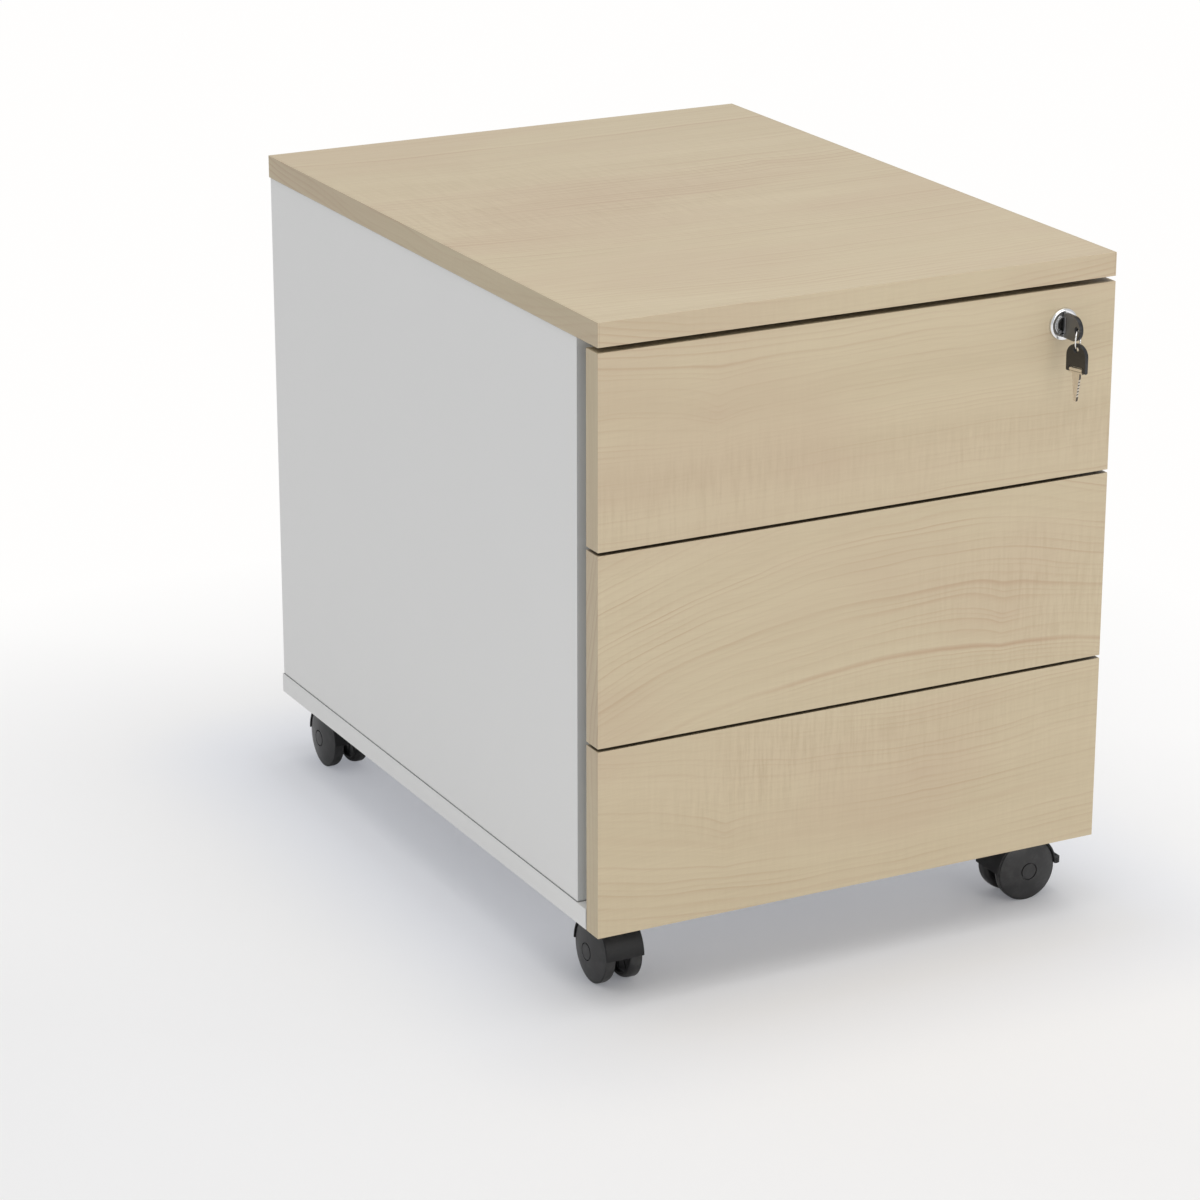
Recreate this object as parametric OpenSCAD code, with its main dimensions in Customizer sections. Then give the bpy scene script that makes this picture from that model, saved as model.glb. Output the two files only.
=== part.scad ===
// Rolling pedestal cabinet with three drawers, a central lock and four twin-wheel casters.
// +X is to the right of someone facing the drawers, +Y runs to the back, +Z is up.
// The origin is on the floor, under the middle of everything that stands or sticks out at rest.

/* [Cabinet] */
// Width of the top, the bottom board and the drawer fronts
cabinet_w = 430; // [400:5:600]
// Depth from the face of the drawer fronts to the back edge of the top
cabinet_d = 580; // [470:5:800]
// Height from the floor to the top face
cabinet_h = 525; // [515:5:700]
// Thickness of the top board
top_t = 18; // [16:1:25]
// Thickness of the side boards and the bottom board
board_t = 16; // [16:1:19]
// Thickness of the back board
back_t = 8; // [5:1:10]
// How far the back board stands in from the back edges
back_inset = 12; // [8:1:20]
// Depth of the grooves in the sides that hold the back board
back_groove = 6; // [4:1:8]
// Step of the side boards in from the edges of the top
side_step = 1; // [0.5:0.5:3]
// Open gap behind the fronts' side edges, where fingers reach in to pull
finger_gap = 16; // [12:1:24]
// Gap between the top and the first drawer front
top_gap = 4; // [3:0.5:6]
// Gap between two drawer fronts
front_gap = 2.5; // [2:0.5:4]
// Gap between the fronts and the front edge of the bottom board
bottom_board_gap = 1.5; // [1:0.5:4]

/* [Board fittings] */
// Diameter of the wooden dowels
dowel_d = 8; // [6:1:8]
// Length of the wooden dowels
dowel_len = 30; // [25:1:35]
// Depth that a dowel goes into the top or the bottom board
dowel_in_board = 11; // [9:1:12]
// Diameter of the cam housings in the sides
cam_housing_d = 15; // [12:0.5:18]
// Depth of the cam housings
cam_housing_t = 12.5; // [12:0.5:13]
// Distance from a side's top edge down to the cam housings
cam_drop = 34; // [24:1:40]
// Diameter of the cam bolt's collar
cam_bolt_d = 7; // [6:0.5:7.5]
// Depth of the cam bolt's thread in the top
cam_bolt_in_top = 11; // [8:1:13]
// Diameter of the long screws through the bottom board
panel_screw_d = 7; // [6:0.5:8]
// Length of the long screws through the bottom board
panel_screw_len = 50; // [40:5:60]
// Distance of the front row of dowels from the front edge of a side
dowel_setback = 36; // [36:1:50]
// Distance of the cam bolts and long screws behind or before the dowels
fitting_pitch = 40; // [32:1:60]

/* [Drawers] */
// Thickness of the drawer fronts
front_t = 18; // [16:1:22]
// Free depth between a drawer box and the back board
drawer_room = 42; // [22:2:90]
// Length of a drawer box that stays in the cabinet when the drawer is fully open
drawer_kept = 100; // [90:10:200]
// Height of the drawer's underside above the lower edge of its front
drawer_lift = 24; // [22:1:28]
// Height of the folded steel sides
drawer_side_h = 80; // [75:1:84]
// Thickness of the steel sheet in the drawer sides and rails
steel_t = 1.2; // [1:0.1:1.2]
// Thickness of the drawer bottoms
drawer_bottom_t = 12; // [8:1:16]
// Thickness of the drawer backs
drawer_back_t = 16; // [12:1:18]
// Height of the drawer backs above the drawer bottoms
drawer_back_h = 60; // [50:1:64]
// Width of the flange that carries the drawer bottom
bottom_flange = 14; // [10:1:20]
// Radius of the rolled bead along the top of a steel side
bead_r = 2; // [1.5:0.1:2.5]

/* [Runners] */
// Gap between a side board and the steel side of a drawer
runner_gap = 12.8; // [12.8:0.1:14]
// Height of a runner rail
rail_h = 27; // [26:1:30]
// How much shorter a runner rail is than a drawer box
rail_short = 10; // [4:1:16]
// Distance of a rail's front end from the front edge of the side board
rail_setback = 2; // [1:1:5]
// Height of a rail's underside above the lower edge of the drawer front
rail_lift = 22; // [21:1:23]
// Diameter of the runner rollers
roller_d = 18; // [16:0.5:18]
// Width of the runner rollers
roller_w = 6; // [5:0.5:6]
// Diameter of the pins that the rollers turn on
roller_pin_d = 5; // [4:0.5:6]
// Distance of each roller from the end of its rail or drawer side
roller_inset = 14; // [12:1:18]
// Height of the bent tabs that stop a drawer's rollers
stop_h = 5; // [4:0.5:7]
// Diameter of the screws that hold the rails
rail_screw_d = 3.5; // [3:0.5:4]

/* [Lock] */
// Distance of the lock's centre from the right edge of the fronts
lock_side = 45; // [44:0.5:46]
// Distance of the lock's centre from the top face
lock_drop = 49; // [47:0.5:50]
// Diameter of the rosette around the lock
rosette_d = 24; // [22:0.5:28]
// How far the rosette stands out of the front
rosette_out = 2.2; // [1.8:0.1:2.2]
// Diameter of the lock's body
lock_body_d = 18; // [17:0.5:20]
// Length of the lock's body behind the rosette
lock_body_len = 22; // [20:0.5:22.5]
// Diameter of the plug that turns
plug_d = 13; // [12:0.5:13.5]
// How far the plug's face stands out of the front
plug_out = 1.6; // [1.2:0.1:1.8]
// Radius that the cam's pin turns on
cam_r = 9; // [8:0.25:9.5]
// Diameter of the cam's pin
cam_pin_d = 5; // [4:0.5:6]
// Thickness of the cam
cam_t = 3; // [2:0.5:4]
// Width of the locking bar, front to back
bar_w = 12; // [10:1:12]
// Thickness of the locking bar
bar_t = 5; // [4:0.5:5.5]
// Distance of the locking bar's middle behind the front edge of the side board
bar_setback = 22; // [20:1:24]
// Gap between the locking bar and the face of the side board
bar_gap = 0.6; // [0.3:0.1:0.8]

/* [Keys] */
// Width of a key bow
bow_w = 18.5; // [17:0.5:20]
// Thickness of a key bow
bow_t = 3.4; // [3:0.1:3.6]
// Length of a key bow from its hinge pin to its round end
bow_len = 19.6; // [18:0.2:22]
// Distance of the ring's hole from the bow's round end
bow_hole_inset = 4.2; // [4:0.2:6]
// Diameter of the ring's hole
bow_hole_d = 3.4; // [3.2:0.1:3.6]
// Diameter of the hinge pin in a bow
key_pin_d = 1.6; // [1.4:0.1:1.8]
// Gap between the hinge pin's axis and the face of the plug
key_pin_out = 2.8; // [2.8:0.1:3.2]
// Length of a key blade from the hinge pin's axis
blade_len = 24; // [20:0.5:24]
// Width of a key blade
blade_w = 7; // [6:0.5:7.5]
// Thickness of a key blade
blade_t = 2; // [1.6:0.1:2.2]
// Radius of the key ring, to the middle of its wire
ring_r = 7.25; // [7:0.25:12]
// Diameter of the key ring's wire
ring_wire_d = 1; // [0.8:0.1:1.2]
// Angle of the key ring from the plane of the fronts
ring_turn = 41; // [20:1:42]
// Angle of the spare key from square to the fronts
spare_turn = 15; // [5:1:25]

/* [Casters] */
// Height of a caster, floor to the underside of the bottom board
caster_h = 62; // [54:1:76]
// Height of a caster above the top of its wheels
wheel_head = 12; // [11:0.5:16]
// Width of the gap between a caster's two wheels
wheel_gap = 11.6; // [11:0.2:13]
// Width of a wheel's rolling surface
tread_w = 7.7; // [7:0.1:9]
// Depth of the wheel's domed outer face
dome_h = 6.5; // [4:0.5:8]
// Diameter of the axle
axle_d = 6; // [5:0.5:7]
// Width of the hood over the treads
hood_w = 32; // [31:0.5:34]
// Thickness of the hood's wall
hood_t = 1.5; // [1.2:0.1:2]
// Running gap between a wheel and the hood
hood_gap = 1; // [0.8:0.1:1.2]
// Offset of the axle from the kingpin
trail = 5; // [4:0.5:6]
// Diameter of the kingpin
kingpin_d = 7; // [6:0.5:7.5]
// Side of the square caster plate
plate_w = 38; // [36:1:44]
// Thickness of the caster plate
plate_t = 2.5; // [2:0.1:3]
// Distance of the kingpins from the cabinet's sides
caster_side = 39; // [36:1:60]
// Distance of the front kingpins from the face of the fronts
caster_front = 52.5; // [50:0.5:80]
// Distance of the back kingpins from the cabinet's back
caster_back = 33; // [33:0.5:60]
// How far the brake pedal stands out behind the hood
pedal_out = 6.5; // [5:0.5:9]
// Width of the brake pedal
pedal_w = 14; // [12:0.5:15]
// Thickness of the brake pedal
pedal_t = 4; // [3:0.5:5]
// Angle that lifting the pedal turns the brake lever through
lever_lift = 18; // [14:1:18]

/* [Hidden] */
$fn = 64;

bite = 0.1;          // overlap of a cutting shape past the face it cuts
run_gap = 0.05;      // radial clearance of a turning fit
part_gap = 0.5;      // side clearance of parts that pass each other

// Finishes
maple = [0.83, 0.75, 0.60];
light_grey = [0.86, 0.86, 0.85];
sheet_grey = [0.72, 0.73, 0.74];
zinc = [0.78, 0.79, 0.80];
nylon_black = [0.10, 0.10, 0.11];
nylon_white = [0.90, 0.90, 0.88];
beech = [0.80, 0.66, 0.46];

// Cabinet planes, measured from the face of the drawer fronts before centring
side_out = cabinet_w/2 - side_step;
side_in = side_out - board_t;
side_mid = side_out - board_t/2;
side_front = front_t + finger_gap;
side_back = cabinet_d - side_step;
board_top = caster_h + board_t;
top_under = cabinet_h - top_t;
front_h = (top_under - top_gap - caster_h - 2*front_gap)/3;
back_panel_front = cabinet_d - back_inset - back_t;
dowel_ys = [side_front + dowel_setback, side_back - dowel_setback];
fitting_ys = [dowel_ys[0] + fitting_pitch, dowel_ys[1] - fitting_pitch];
cam_z = top_under - cam_drop;

// Drawer planes
wall_out = side_in - runner_gap;
wall_in = wall_out - steel_t;
drawer_end = back_panel_front - drawer_room;
drawer_len = drawer_end - front_t;
drawer_travel = drawer_len - drawer_kept;
bracket_w = 22;
bracket_holes = [12, 32];
bracket_screw_d = 3;
bracket_screw_bite = 12;

// Rail planes: the track is the top of the lower flange
rail_in = side_in - runner_gap + steel_t;
rail_front = side_front + rail_setback;
rail_back = rail_front + drawer_len - rail_short;
rail_lip = 3;
roller_rise = 1;     // a front roller stands this far off the track
end_gap = 0.2;       // end play of a roller, and of a key's barrel between the ears
roller_in = rail_in + steel_t + end_gap;
roller_out = roller_in + roller_w;
roller_r = roller_d/2;
pin_head_d = roller_pin_d + 3;
pin_head_t = 1;
front_roller_y = rail_front + roller_inset;
rear_roller_y = drawer_end - roller_inset;
stop_t = 3;
stop_gap = roller_r + part_gap;
stop_ys = [rear_roller_y - drawer_travel - stop_gap - stop_t, rear_roller_y + stop_gap];
first_screw = 45;     // from a rail's front end to its first screw
last_screw = 30;      // from its last screw to its back end
rail_screw_ys = [rail_front + first_screw, (rail_front + rail_back)/2, rail_back - last_screw];
screw_head_d = 7;
screw_head_t = 1.6;
screw_bite = 13;

// Lock and locking bar
lock_x = cabinet_w/2 - lock_side;
lock_z = cabinet_h - lock_drop;
cam_rest = 45;       // angle of the cam's pin above level, unlocked
cam_front = lock_body_len + 3;
stud_r = 3;
bar_y = side_front + bar_setback;
bar_in = side_in + bar_gap;
bar_drop = 2*cam_r*sin(cam_rest);
pin_z = lock_z + cam_r*sin(cam_rest);
slot_half = cam_pin_d/2 + 0.4;
fork_half = slot_half + 3;
fork_in = lock_x + 1;
lug_w = 8;
lug_h = 8;
catch_lift = rail_lift + rail_h + 5;
catch_h = 8;
catch_t = 3;
catch_out = 9;
lug_lift = catch_lift + catch_h + 1;
guide_lift = 80;
guide_h = 12;
guide_t = 1.5;
guide_wing = 11;      // a keeper reaches this far past the bar on each side
guide_w = bar_w + 2*guide_wing;
guide_screw_inset = 5;

// Keys
key_pin_y = plug_out + key_pin_out;
bow_hole = bow_len - bow_hole_inset;
ear_w = 3;
ear_r = key_pin_y - rosette_out - end_gap;
barrel_w = bow_w - 2*ear_w - 2*end_gap;
shoulder = key_pin_out - end_gap;
bow_root = ear_r + 2*end_gap;
ring_hole_out = key_pin_y + bow_hole;
key_out = ring_hole_out + bow_w/2*cos(spare_turn) + bow_t/2*sin(spare_turn);

// Everything from the fronts back is set so that the middle of the whole length is at y = 0
y_front = (key_out - cabinet_d)/2;

// Casters: kingpin x and y from the front's face, and the turn of the trailing side from +Y
wheel_r = (caster_h - wheel_head)/2;
caster_x = cabinet_w/2 - caster_side;
CASTERS = [
    [-caster_x, caster_front, 0],
    [caster_x, caster_front, -90],
    [-caster_x, cabinet_d - caster_back, 0],
    [caster_x, cabinet_d - caster_back, 0],
];
wheel_in = wheel_gap/2;
tread_out = wheel_in + tread_w;
wheel_tip = tread_out + dome_h;
disc_r = wheel_r - 0.7;
dome_r = (disc_r*disc_r + dome_h*dome_h)/(2*dome_h);
web_half = wheel_in - part_gap;
hood_in = wheel_r + hood_gap;
hood_r = hood_in + hood_t;
hood_cut = 1;        // the hood's lower edge stands this far above the axle
cup_h = 3.5;         // height of the plate's bearing cup
cup_gap = 0.3;
cup_under = caster_h - plate_t - cup_h;
collar_top = cup_under - cup_gap;
collar_r = 10.5;
kingpin_lift = 8;    // the kingpin ends this far above the axle
hub_r = 8.5;
rim_t = 4.5;
rim_in = wheel_r - rim_t;
recess_h = 3.7;
pivot_t = 13;        // the brake's pivot pin, behind the axle
pivot_d = 3;
pivot_boss_r = 5;
shoe_r = 1.8;
shoe_gap = 0.1;      // the pressed shoe stands this far from the rims
shoe_angle = 66.9;   // direction of the pressed shoe from the axle, above level
shoe_at = (rim_in - shoe_r - shoe_gap)*[cos(shoe_angle), sin(shoe_angle)];
lever_half = 2.2;
shoe_reach = 2.8;    // how far the shoe's bar reaches into each wheel
shoe_up = [pivot_t + (shoe_at[0] - pivot_t)*cos(lever_lift) - shoe_at[1]*sin(lever_lift),
           (shoe_at[0] - pivot_t)*sin(lever_lift) + shoe_at[1]*cos(lever_lift)];
pedal_drop = 2;      // the pedal's upper face is this far below the axle
pedal_reach = hood_r + pedal_out;
pedal_window = 10;   // height of the cut in the hood's rear above the axle
plate_hole = plate_w/2 - 6;
caster_screw_d = 4;

module centred() translate([0, y_front, 0]) children();
module both_sides() {
    children();
    mirror([1, 0, 0]) children();
}
module rod_x(x0, x1, r) translate([x0, 0, 0]) rotate([0, 90, 0]) cylinder(r = r, h = x1 - x0);
module block(x0, x1, y0, y1, z0, z1) translate([x0, y0, z0]) cube([x1 - x0, y1 - y0, z1 - z0]);

function front_z(level) = caster_h + level*(front_h + front_gap);

// ---------------------------------------------------------------- boards

module dowel_holes() {
    for (s = [-1, 1], y = dowel_ys, z = [board_top - dowel_in_board, top_under + dowel_in_board - dowel_len])
        translate([s*side_mid, y, z]) cylinder(d = dowel_d, h = dowel_len);
}

module top_panel() color(maple) centred() difference() {
    block(-cabinet_w/2, cabinet_w/2, 0, cabinet_d, top_under, cabinet_h);
    dowel_holes();
    for (s = [-1, 1], y = fitting_ys)
        translate([s*side_mid, y, top_under - bite]) cylinder(d = cam_bolt_d, h = cam_bolt_in_top + bite);
}

module side_board() difference() {
    block(side_in, side_out, side_front, side_back, board_top, top_under);
    block(side_in - bite, side_in + back_groove, back_panel_front, back_panel_front + back_t,
          board_top - bite, top_under + bite);
    dowel_holes();
    for (y = fitting_ys) {
        translate([0, y, cam_z]) rod_x(side_in - bite, side_in + cam_housing_t, cam_housing_d/2);
        translate([side_mid, y, cam_z]) cylinder(d = cam_bolt_d + 1, h = cam_drop + bite);
        translate([side_mid, y, board_top - bite])
            cylinder(d = panel_screw_d, h = panel_screw_len - board_t + bite);
    }
    for (level = [0:2], y = rail_screw_ys)
        translate([0, y, rail_screw_z(level)]) rod_x(side_in - bite, side_in + screw_bite, rail_screw_d/2);
}

module side_panel_left() color(light_grey) centred() mirror([1, 0, 0]) side_board();

// The right side also holds the locking bar, in a groove that is open at the top
module side_panel_right() color(light_grey) centred() difference() {
    side_board();
    block(side_in - bite, bar_in + bar_t + bar_gap, bar_y - bar_w/2 - part_gap, bar_y + bar_w/2 + part_gap,
          board_top + 2, top_under + bite);
    for (level = [0, 1], y = guide_screw_ys)
        translate([0, y, guide_screw_z(level)]) rod_x(side_in - bite, side_in + screw_bite, rail_screw_d/2);
}

module bottom_panel() color(light_grey) centred() difference() {
    block(-cabinet_w/2, cabinet_w/2, front_t + bottom_board_gap, cabinet_d, caster_h, board_top);
    dowel_holes();
    for (s = [-1, 1], y = fitting_ys) translate([s*side_mid, y, caster_h - bite]) {
        cylinder(d = panel_screw_d, h = board_t + 2*bite);
        cylinder(d = panel_screw_d + 3, h = 4 + bite);
    }
    for (c = CASTERS) caster_screw_places(c)
        translate([0, 0, -bite]) cylinder(d = caster_screw_d, h = screw_bite + bite);
}

module back_panel() color(light_grey) centred()
    block(-side_in - back_groove, side_in + back_groove, back_panel_front, back_panel_front + back_t,
          board_top, top_under);

// Cam housing in the side and its bolt in the top, which draw the two boards together
module cam_fittings() color(zinc) centred() both_sides() for (y = fitting_ys) {
    cross = 4;
    cross_t = 1.6;
    below = 3;
    neck = 8;
    difference() {
        translate([0, y, cam_z]) rod_x(side_in, side_in + cam_housing_t, cam_housing_d/2);
        translate([side_mid, y, cam_z - below - 1]) cylinder(d = cam_bolt_d + 1, h = cam_housing_d);
        translate([0, y, cam_z]) {
            block(side_in - bite, side_in + 2, -cross, cross, -cross_t/2, cross_t/2);
            block(side_in - bite, side_in + 2, -cross_t/2, cross_t/2, -cross, cross);
        }
    }
    translate([side_mid, y, cam_z - below]) {
        cylinder(d = cam_bolt_d, h = below + bite);
        cylinder(d = cam_bolt_d - 3, h = cam_drop + below);
        translate([0, 0, neck]) cylinder(d = cam_bolt_d, h = cam_drop + cam_bolt_in_top + below - neck);
    }
}

module dowels() color(beech) centred() dowel_holes();

// Long screws that hold the sides down on the bottom board, driven from underneath
module panel_screws() color(zinc) centred() both_sides() for (y = fitting_ys)
    translate([side_mid, y, caster_h]) difference() {
        union() {
            cylinder(d = panel_screw_d + 3, h = 4);
            cylinder(d = panel_screw_d, h = panel_screw_len);
        }
        translate([0, 0, -bite]) cylinder(d = 4, h = 3, $fn = 6);
    }

// ---------------------------------------------------------------- runners

function rail_z(level) = front_z(level) + rail_lift;
function track_z(level) = rail_z(level) + steel_t;
function rail_screw_z(level) = track_z(level) + roller_r;
function guide_screw_z(level) = front_z(level) + guide_lift + guide_h/2;
guide_screw_ys = [bar_y - guide_w/2 + guide_screw_inset, bar_y + guide_w/2 - guide_screw_inset];

// A folded C-shaped rail, with a lip that keeps the drawer's roller in, and stops at both ends
module rail(level) difference() {
    union() {
        block(side_in - steel_t, side_in, rail_front, rail_back, rail_z(level), rail_z(level) + rail_h);
        for (z = [rail_z(level), rail_z(level) + rail_h - steel_t])
            block(rail_in, side_in, rail_front, rail_back, z, z + steel_t);
        block(rail_in, rail_in + steel_t, rail_front, rail_back, rail_z(level), track_z(level) + rail_lip);
        for (y = stop_ys)
            block(roller_in, side_in, y, y + stop_t, rail_z(level), track_z(level) + stop_h);
        translate([0, front_roller_y, track_z(level) + roller_r + roller_rise]) {
            rod_x(roller_in - end_gap - pin_head_t, side_in, roller_pin_d/2);
            rod_x(roller_in - end_gap - pin_head_t, roller_in - end_gap, pin_head_d/2);
            rod_x(roller_out + end_gap, side_in, pin_head_d/2);
        }
    }
    for (y = rail_screw_ys)
        translate([0, y, rail_screw_z(level)])
            rod_x(side_in - 2*steel_t, side_in + bite, rail_screw_d/2 + 0.2);
}

module runner_rails(level) color(sheet_grey) centred() both_sides() rail(level);

module pan_screw_x(x, y, z) translate([0, y, z]) difference() {
    union() {
        rod_x(x - screw_head_t, x, screw_head_d/2);
        rod_x(x, side_in + screw_bite, rail_screw_d/2);
    }
    block(x - screw_head_t - bite, x - screw_head_t + 0.8, -2, 2, -0.5, 0.5);
}

module runner_screws() color(zinc) centred() {
    both_sides() for (level = [0:2], y = rail_screw_ys)
        pan_screw_x(side_in - steel_t, y, rail_screw_z(level));
    for (level = [0, 1], y = guide_screw_ys)
        pan_screw_x(side_in - guide_t, y, guide_screw_z(level));
}

// Flat keepers screwed over the groove, so the locking bar can only slide up and down
module lock_bar_guides() color(nylon_white) centred() for (level = [0, 1]) difference() {
    block(side_in - guide_t, side_in, bar_y - guide_w/2, bar_y + guide_w/2,
          front_z(level) + guide_lift, front_z(level) + guide_lift + guide_h);
    for (y = guide_screw_ys)
        translate([0, y, guide_screw_z(level)]) rod_x(side_in - 2*guide_t, side_in + bite, rail_screw_d/2);
}

module roller(x0, y, z) translate([0, y, z]) difference() {
    rod_x(x0, x0 + roller_w, roller_r);
    rod_x(x0 - bite, x0 + roller_w + bite, roller_pin_d/2 + run_gap);
    for (x = [x0 - bite, x0 + roller_w - 0.6]) difference() {
        rod_x(x, x + 0.6 + bite, roller_r - 1.5);
        rod_x(x - bite, x + 0.6 + 2*bite, roller_pin_d/2 + 1.8);
    }
}

module front_rollers(level) color(nylon_white) centred() both_sides()
    roller(roller_in, front_roller_y, track_z(level) + roller_r + roller_rise);

module rear_rollers(level) color(nylon_white) centred() both_sides()
    roller(roller_in, rear_roller_y, track_z(level) + roller_r);

// ---------------------------------------------------------------- drawers

module drawer_front(level) color(maple) centred() difference() {
    block(-cabinet_w/2, cabinet_w/2, 0, front_t, front_z(level), front_z(level) + front_h);
    if (level == 2) translate([lock_x, 0, lock_z]) rotate([90, 0, 0])
        translate([0, 0, -front_t - bite]) cylinder(d = lock_body_d, h = front_t + 2*bite);
    for (s = [-1, 1], z = bracket_holes)
        translate([s*(wall_in - bracket_w/2), front_t - bracket_screw_bite, bracket_z(level) + z])
            rotate([-90, 0, 0]) cylinder(d = bracket_screw_d, h = bracket_screw_bite + bite);
}

function drawer_z(level) = front_z(level) + drawer_lift;
function bracket_z(level) = drawer_z(level) + steel_t + drawer_bottom_t;

// One folded steel side: wall, flange under the bottom, flange that rides on the front roller,
// rolled bead on top, bracket for the front and the pin of the rear roller
module steel_side(level) difference() {
    z0 = drawer_z(level);
    ride_z = track_z(level) + roller_rise + roller_d + run_gap;
    union() {
        block(wall_in, wall_out, front_t, drawer_end, z0, z0 + drawer_side_h - bead_r);
        block(wall_in - bottom_flange, wall_out, front_t, drawer_end, z0, z0 + steel_t);
        block(wall_in, roller_out + 1, side_front, drawer_end, ride_z, ride_z + steel_t);
        translate([wall_in + bead_r, front_t, z0 + drawer_side_h - bead_r])
            rotate([-90, 0, 0]) cylinder(r = bead_r, h = drawer_len);
        block(wall_in - bracket_w, wall_in, front_t, front_t + steel_t,
              bracket_z(level), bracket_z(level) + bracket_holes[1] + 10);
        translate([0, rear_roller_y, track_z(level) + roller_r]) {
            rod_x(wall_in, roller_out + end_gap + pin_head_t, roller_pin_d/2);
            rod_x(wall_in, roller_in - end_gap, pin_head_d/2);
            rod_x(roller_out + end_gap, roller_out + end_gap + pin_head_t, pin_head_d/2);
        }
    }
    for (z = bracket_holes)
        translate([wall_in - bracket_w/2, front_t - bite, bracket_z(level) + z])
            rotate([-90, 0, 0]) cylinder(d = bracket_screw_d + 1, h = steel_t + 2*bite);
}

// The right side also has the catch that the locking bar's lug holds shut
module drawer_sides(level) color(sheet_grey) centred() {
    both_sides() steel_side(level);
    block(wall_out, wall_out + catch_out, bar_y + lug_w/2 + 1, bar_y + lug_w/2 + 1 + catch_t,
          front_z(level) + catch_lift, front_z(level) + catch_lift + catch_h);
}

module drawer_bottom(level) color(light_grey) centred()
    block(-wall_in, wall_in, front_t, drawer_end, drawer_z(level) + steel_t, bracket_z(level));

module drawer_back(level) color(light_grey) centred()
    block(-wall_in, wall_in, drawer_end - drawer_back_t, drawer_end,
          bracket_z(level), bracket_z(level) + drawer_back_h);

// ---------------------------------------------------------------- lock

// Places a shape at the lock with its own +Z pointing out of the front
module at_lock() centred() translate([lock_x, 0, lock_z]) rotate([90, 0, 0]) children();

module lock_housing() color(zinc) at_lock() rotate_extrude() polygon([
    [plug_d/2, -lock_body_len], [lock_body_d/2, -lock_body_len], [lock_body_d/2, 0], [rosette_d/2, 0],
    [rosette_d/2, rosette_out*0.35], [rosette_d/2 - 0.5, rosette_out*0.7], [rosette_d/2 - 1.3, rosette_out],
    [lock_body_d/2, rosette_out], [lock_body_d/2 - 0.6, rosette_out*0.45], [plug_d/2, rosette_out*0.45],
]);

// Plug with its keyway, a groove round its face, and the stud that carries the cam
module lock_plug() color(zinc) at_lock() difference() {
    union() {
        translate([0, 0, -cam_front]) cylinder(r = plug_d/2 - run_gap, h = cam_front + plug_out);
        translate([0, 0, -cam_front - cam_t]) cylinder(r = stud_r, h = cam_t + bite);
    }
    translate([-blade_t/2 - 0.25, -blade_w/2 - 0.5, key_pin_y - blade_len - 1])
        cube([blade_t + 0.5, blade_w + 1, blade_len]);
    translate([0, 0, plug_out - 0.6]) difference() {
        cylinder(r = plug_d/2 - 0.9, h = 1);
        translate([0, 0, -bite]) cylinder(r = plug_d/2 - 1.5, h = 1.2);
    }
}

// Cam on the back of the plug: a disc, an arm and the long pin that moves the locking bar
module lock_cam() color(zinc) at_lock() rotate([0, 0, cam_rest]) difference() {
    arm_half = 4;
    pin_back = bar_y + bar_w/2 - 4;
    translate([0, 0, -cam_front - cam_t]) {
        cylinder(r = plug_d/2, h = cam_t);
        translate([0, -arm_half, 0]) cube([cam_r, 2*arm_half, cam_t]);
        translate([cam_r, 0, 0]) cylinder(r = arm_half, h = cam_t);
    }
    translate([cam_r, 0, -pin_back]) cylinder(d = cam_pin_d, h = pin_back - cam_front);
    translate([0, 0, -cam_front - cam_t - bite]) cylinder(r = stud_r, h = cam_t + 2*bite);
}

// Upright bar in the side's groove, with a lug for each drawer and a fork round the cam's pin
module lock_bar() color(zinc) centred() difference() {
    union() {
        block(bar_in, bar_in + bar_t, bar_y - bar_w/2, bar_y + bar_w/2,
              board_top + 4 + bar_drop, pin_z + fork_half + 4);
        for (level = [0:2])
            block(wall_out + 2, bar_in + bar_t, bar_y - lug_w/2, bar_y + lug_w/2,
                  front_z(level) + lug_lift, front_z(level) + lug_lift + lug_h);
        block(fork_in, bar_in + bar_t, bar_y - bar_w/2, bar_y + bar_w/2,
              pin_z - fork_half, pin_z + fork_half);
    }
    block(fork_in - bite, lock_x + cam_r + slot_half + 0.5,
          bar_y - bar_w/2 - bite, bar_y + bar_w/2 + bite, pin_z - slot_half, pin_z + slot_half);
}

// ---------------------------------------------------------------- keys
// A key's own frame: hinge pin along Y, bow towards +Z, blade towards -Z, thickness along X

// Moulded bow: round end, hole with eased edges for the ring, two ears that hold the hinge pin
module key_bow_shape() {
    difference() {
        union() {
            intersection() {
                union() {
                    translate([0, 0, bow_len - bow_w/2]) rod_x(-bow_t/2, bow_t/2, bow_w/2);
                    block(-bow_t/2, bow_t/2, -bow_w/2, bow_w/2, bow_root, bow_len - bow_w/2);
                }
                block(-bow_t, bow_t, -bow_w, bow_w, bow_root, bow_len + bite);
            }
            for (s = [0, 1]) mirror([0, s, 0]) intersection() {
                union() {
                    translate([0, bow_w/2, 0]) rotate([90, 0, 0]) cylinder(r = ear_r, h = ear_w);
                    block(-bow_t/2, bow_t/2, bow_w/2 - ear_w, bow_w/2, 0, bow_root + bite);
                }
                cube([bow_t, 2*bow_w, 4*ear_r], center = true);
            }
        }
        translate([0, 0, bow_hole]) {
            rod_x(-bow_t, bow_t, bow_hole_d/2);
            for (s = [0, 1]) mirror([s, 0, 0]) translate([bow_t/2 - 0.9, 0, 0]) rotate([0, 90, 0])
                cylinder(r1 = bow_hole_d/2, r2 = bow_hole_d/2 + 1, h = 1);
        }
        rotate([90, 0, 0]) cylinder(d = key_pin_d, h = 2*bow_w, center = true);
    }
    rotate([90, 0, 0]) cylinder(d = key_pin_d, h = bow_w, center = true);
}

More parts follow.
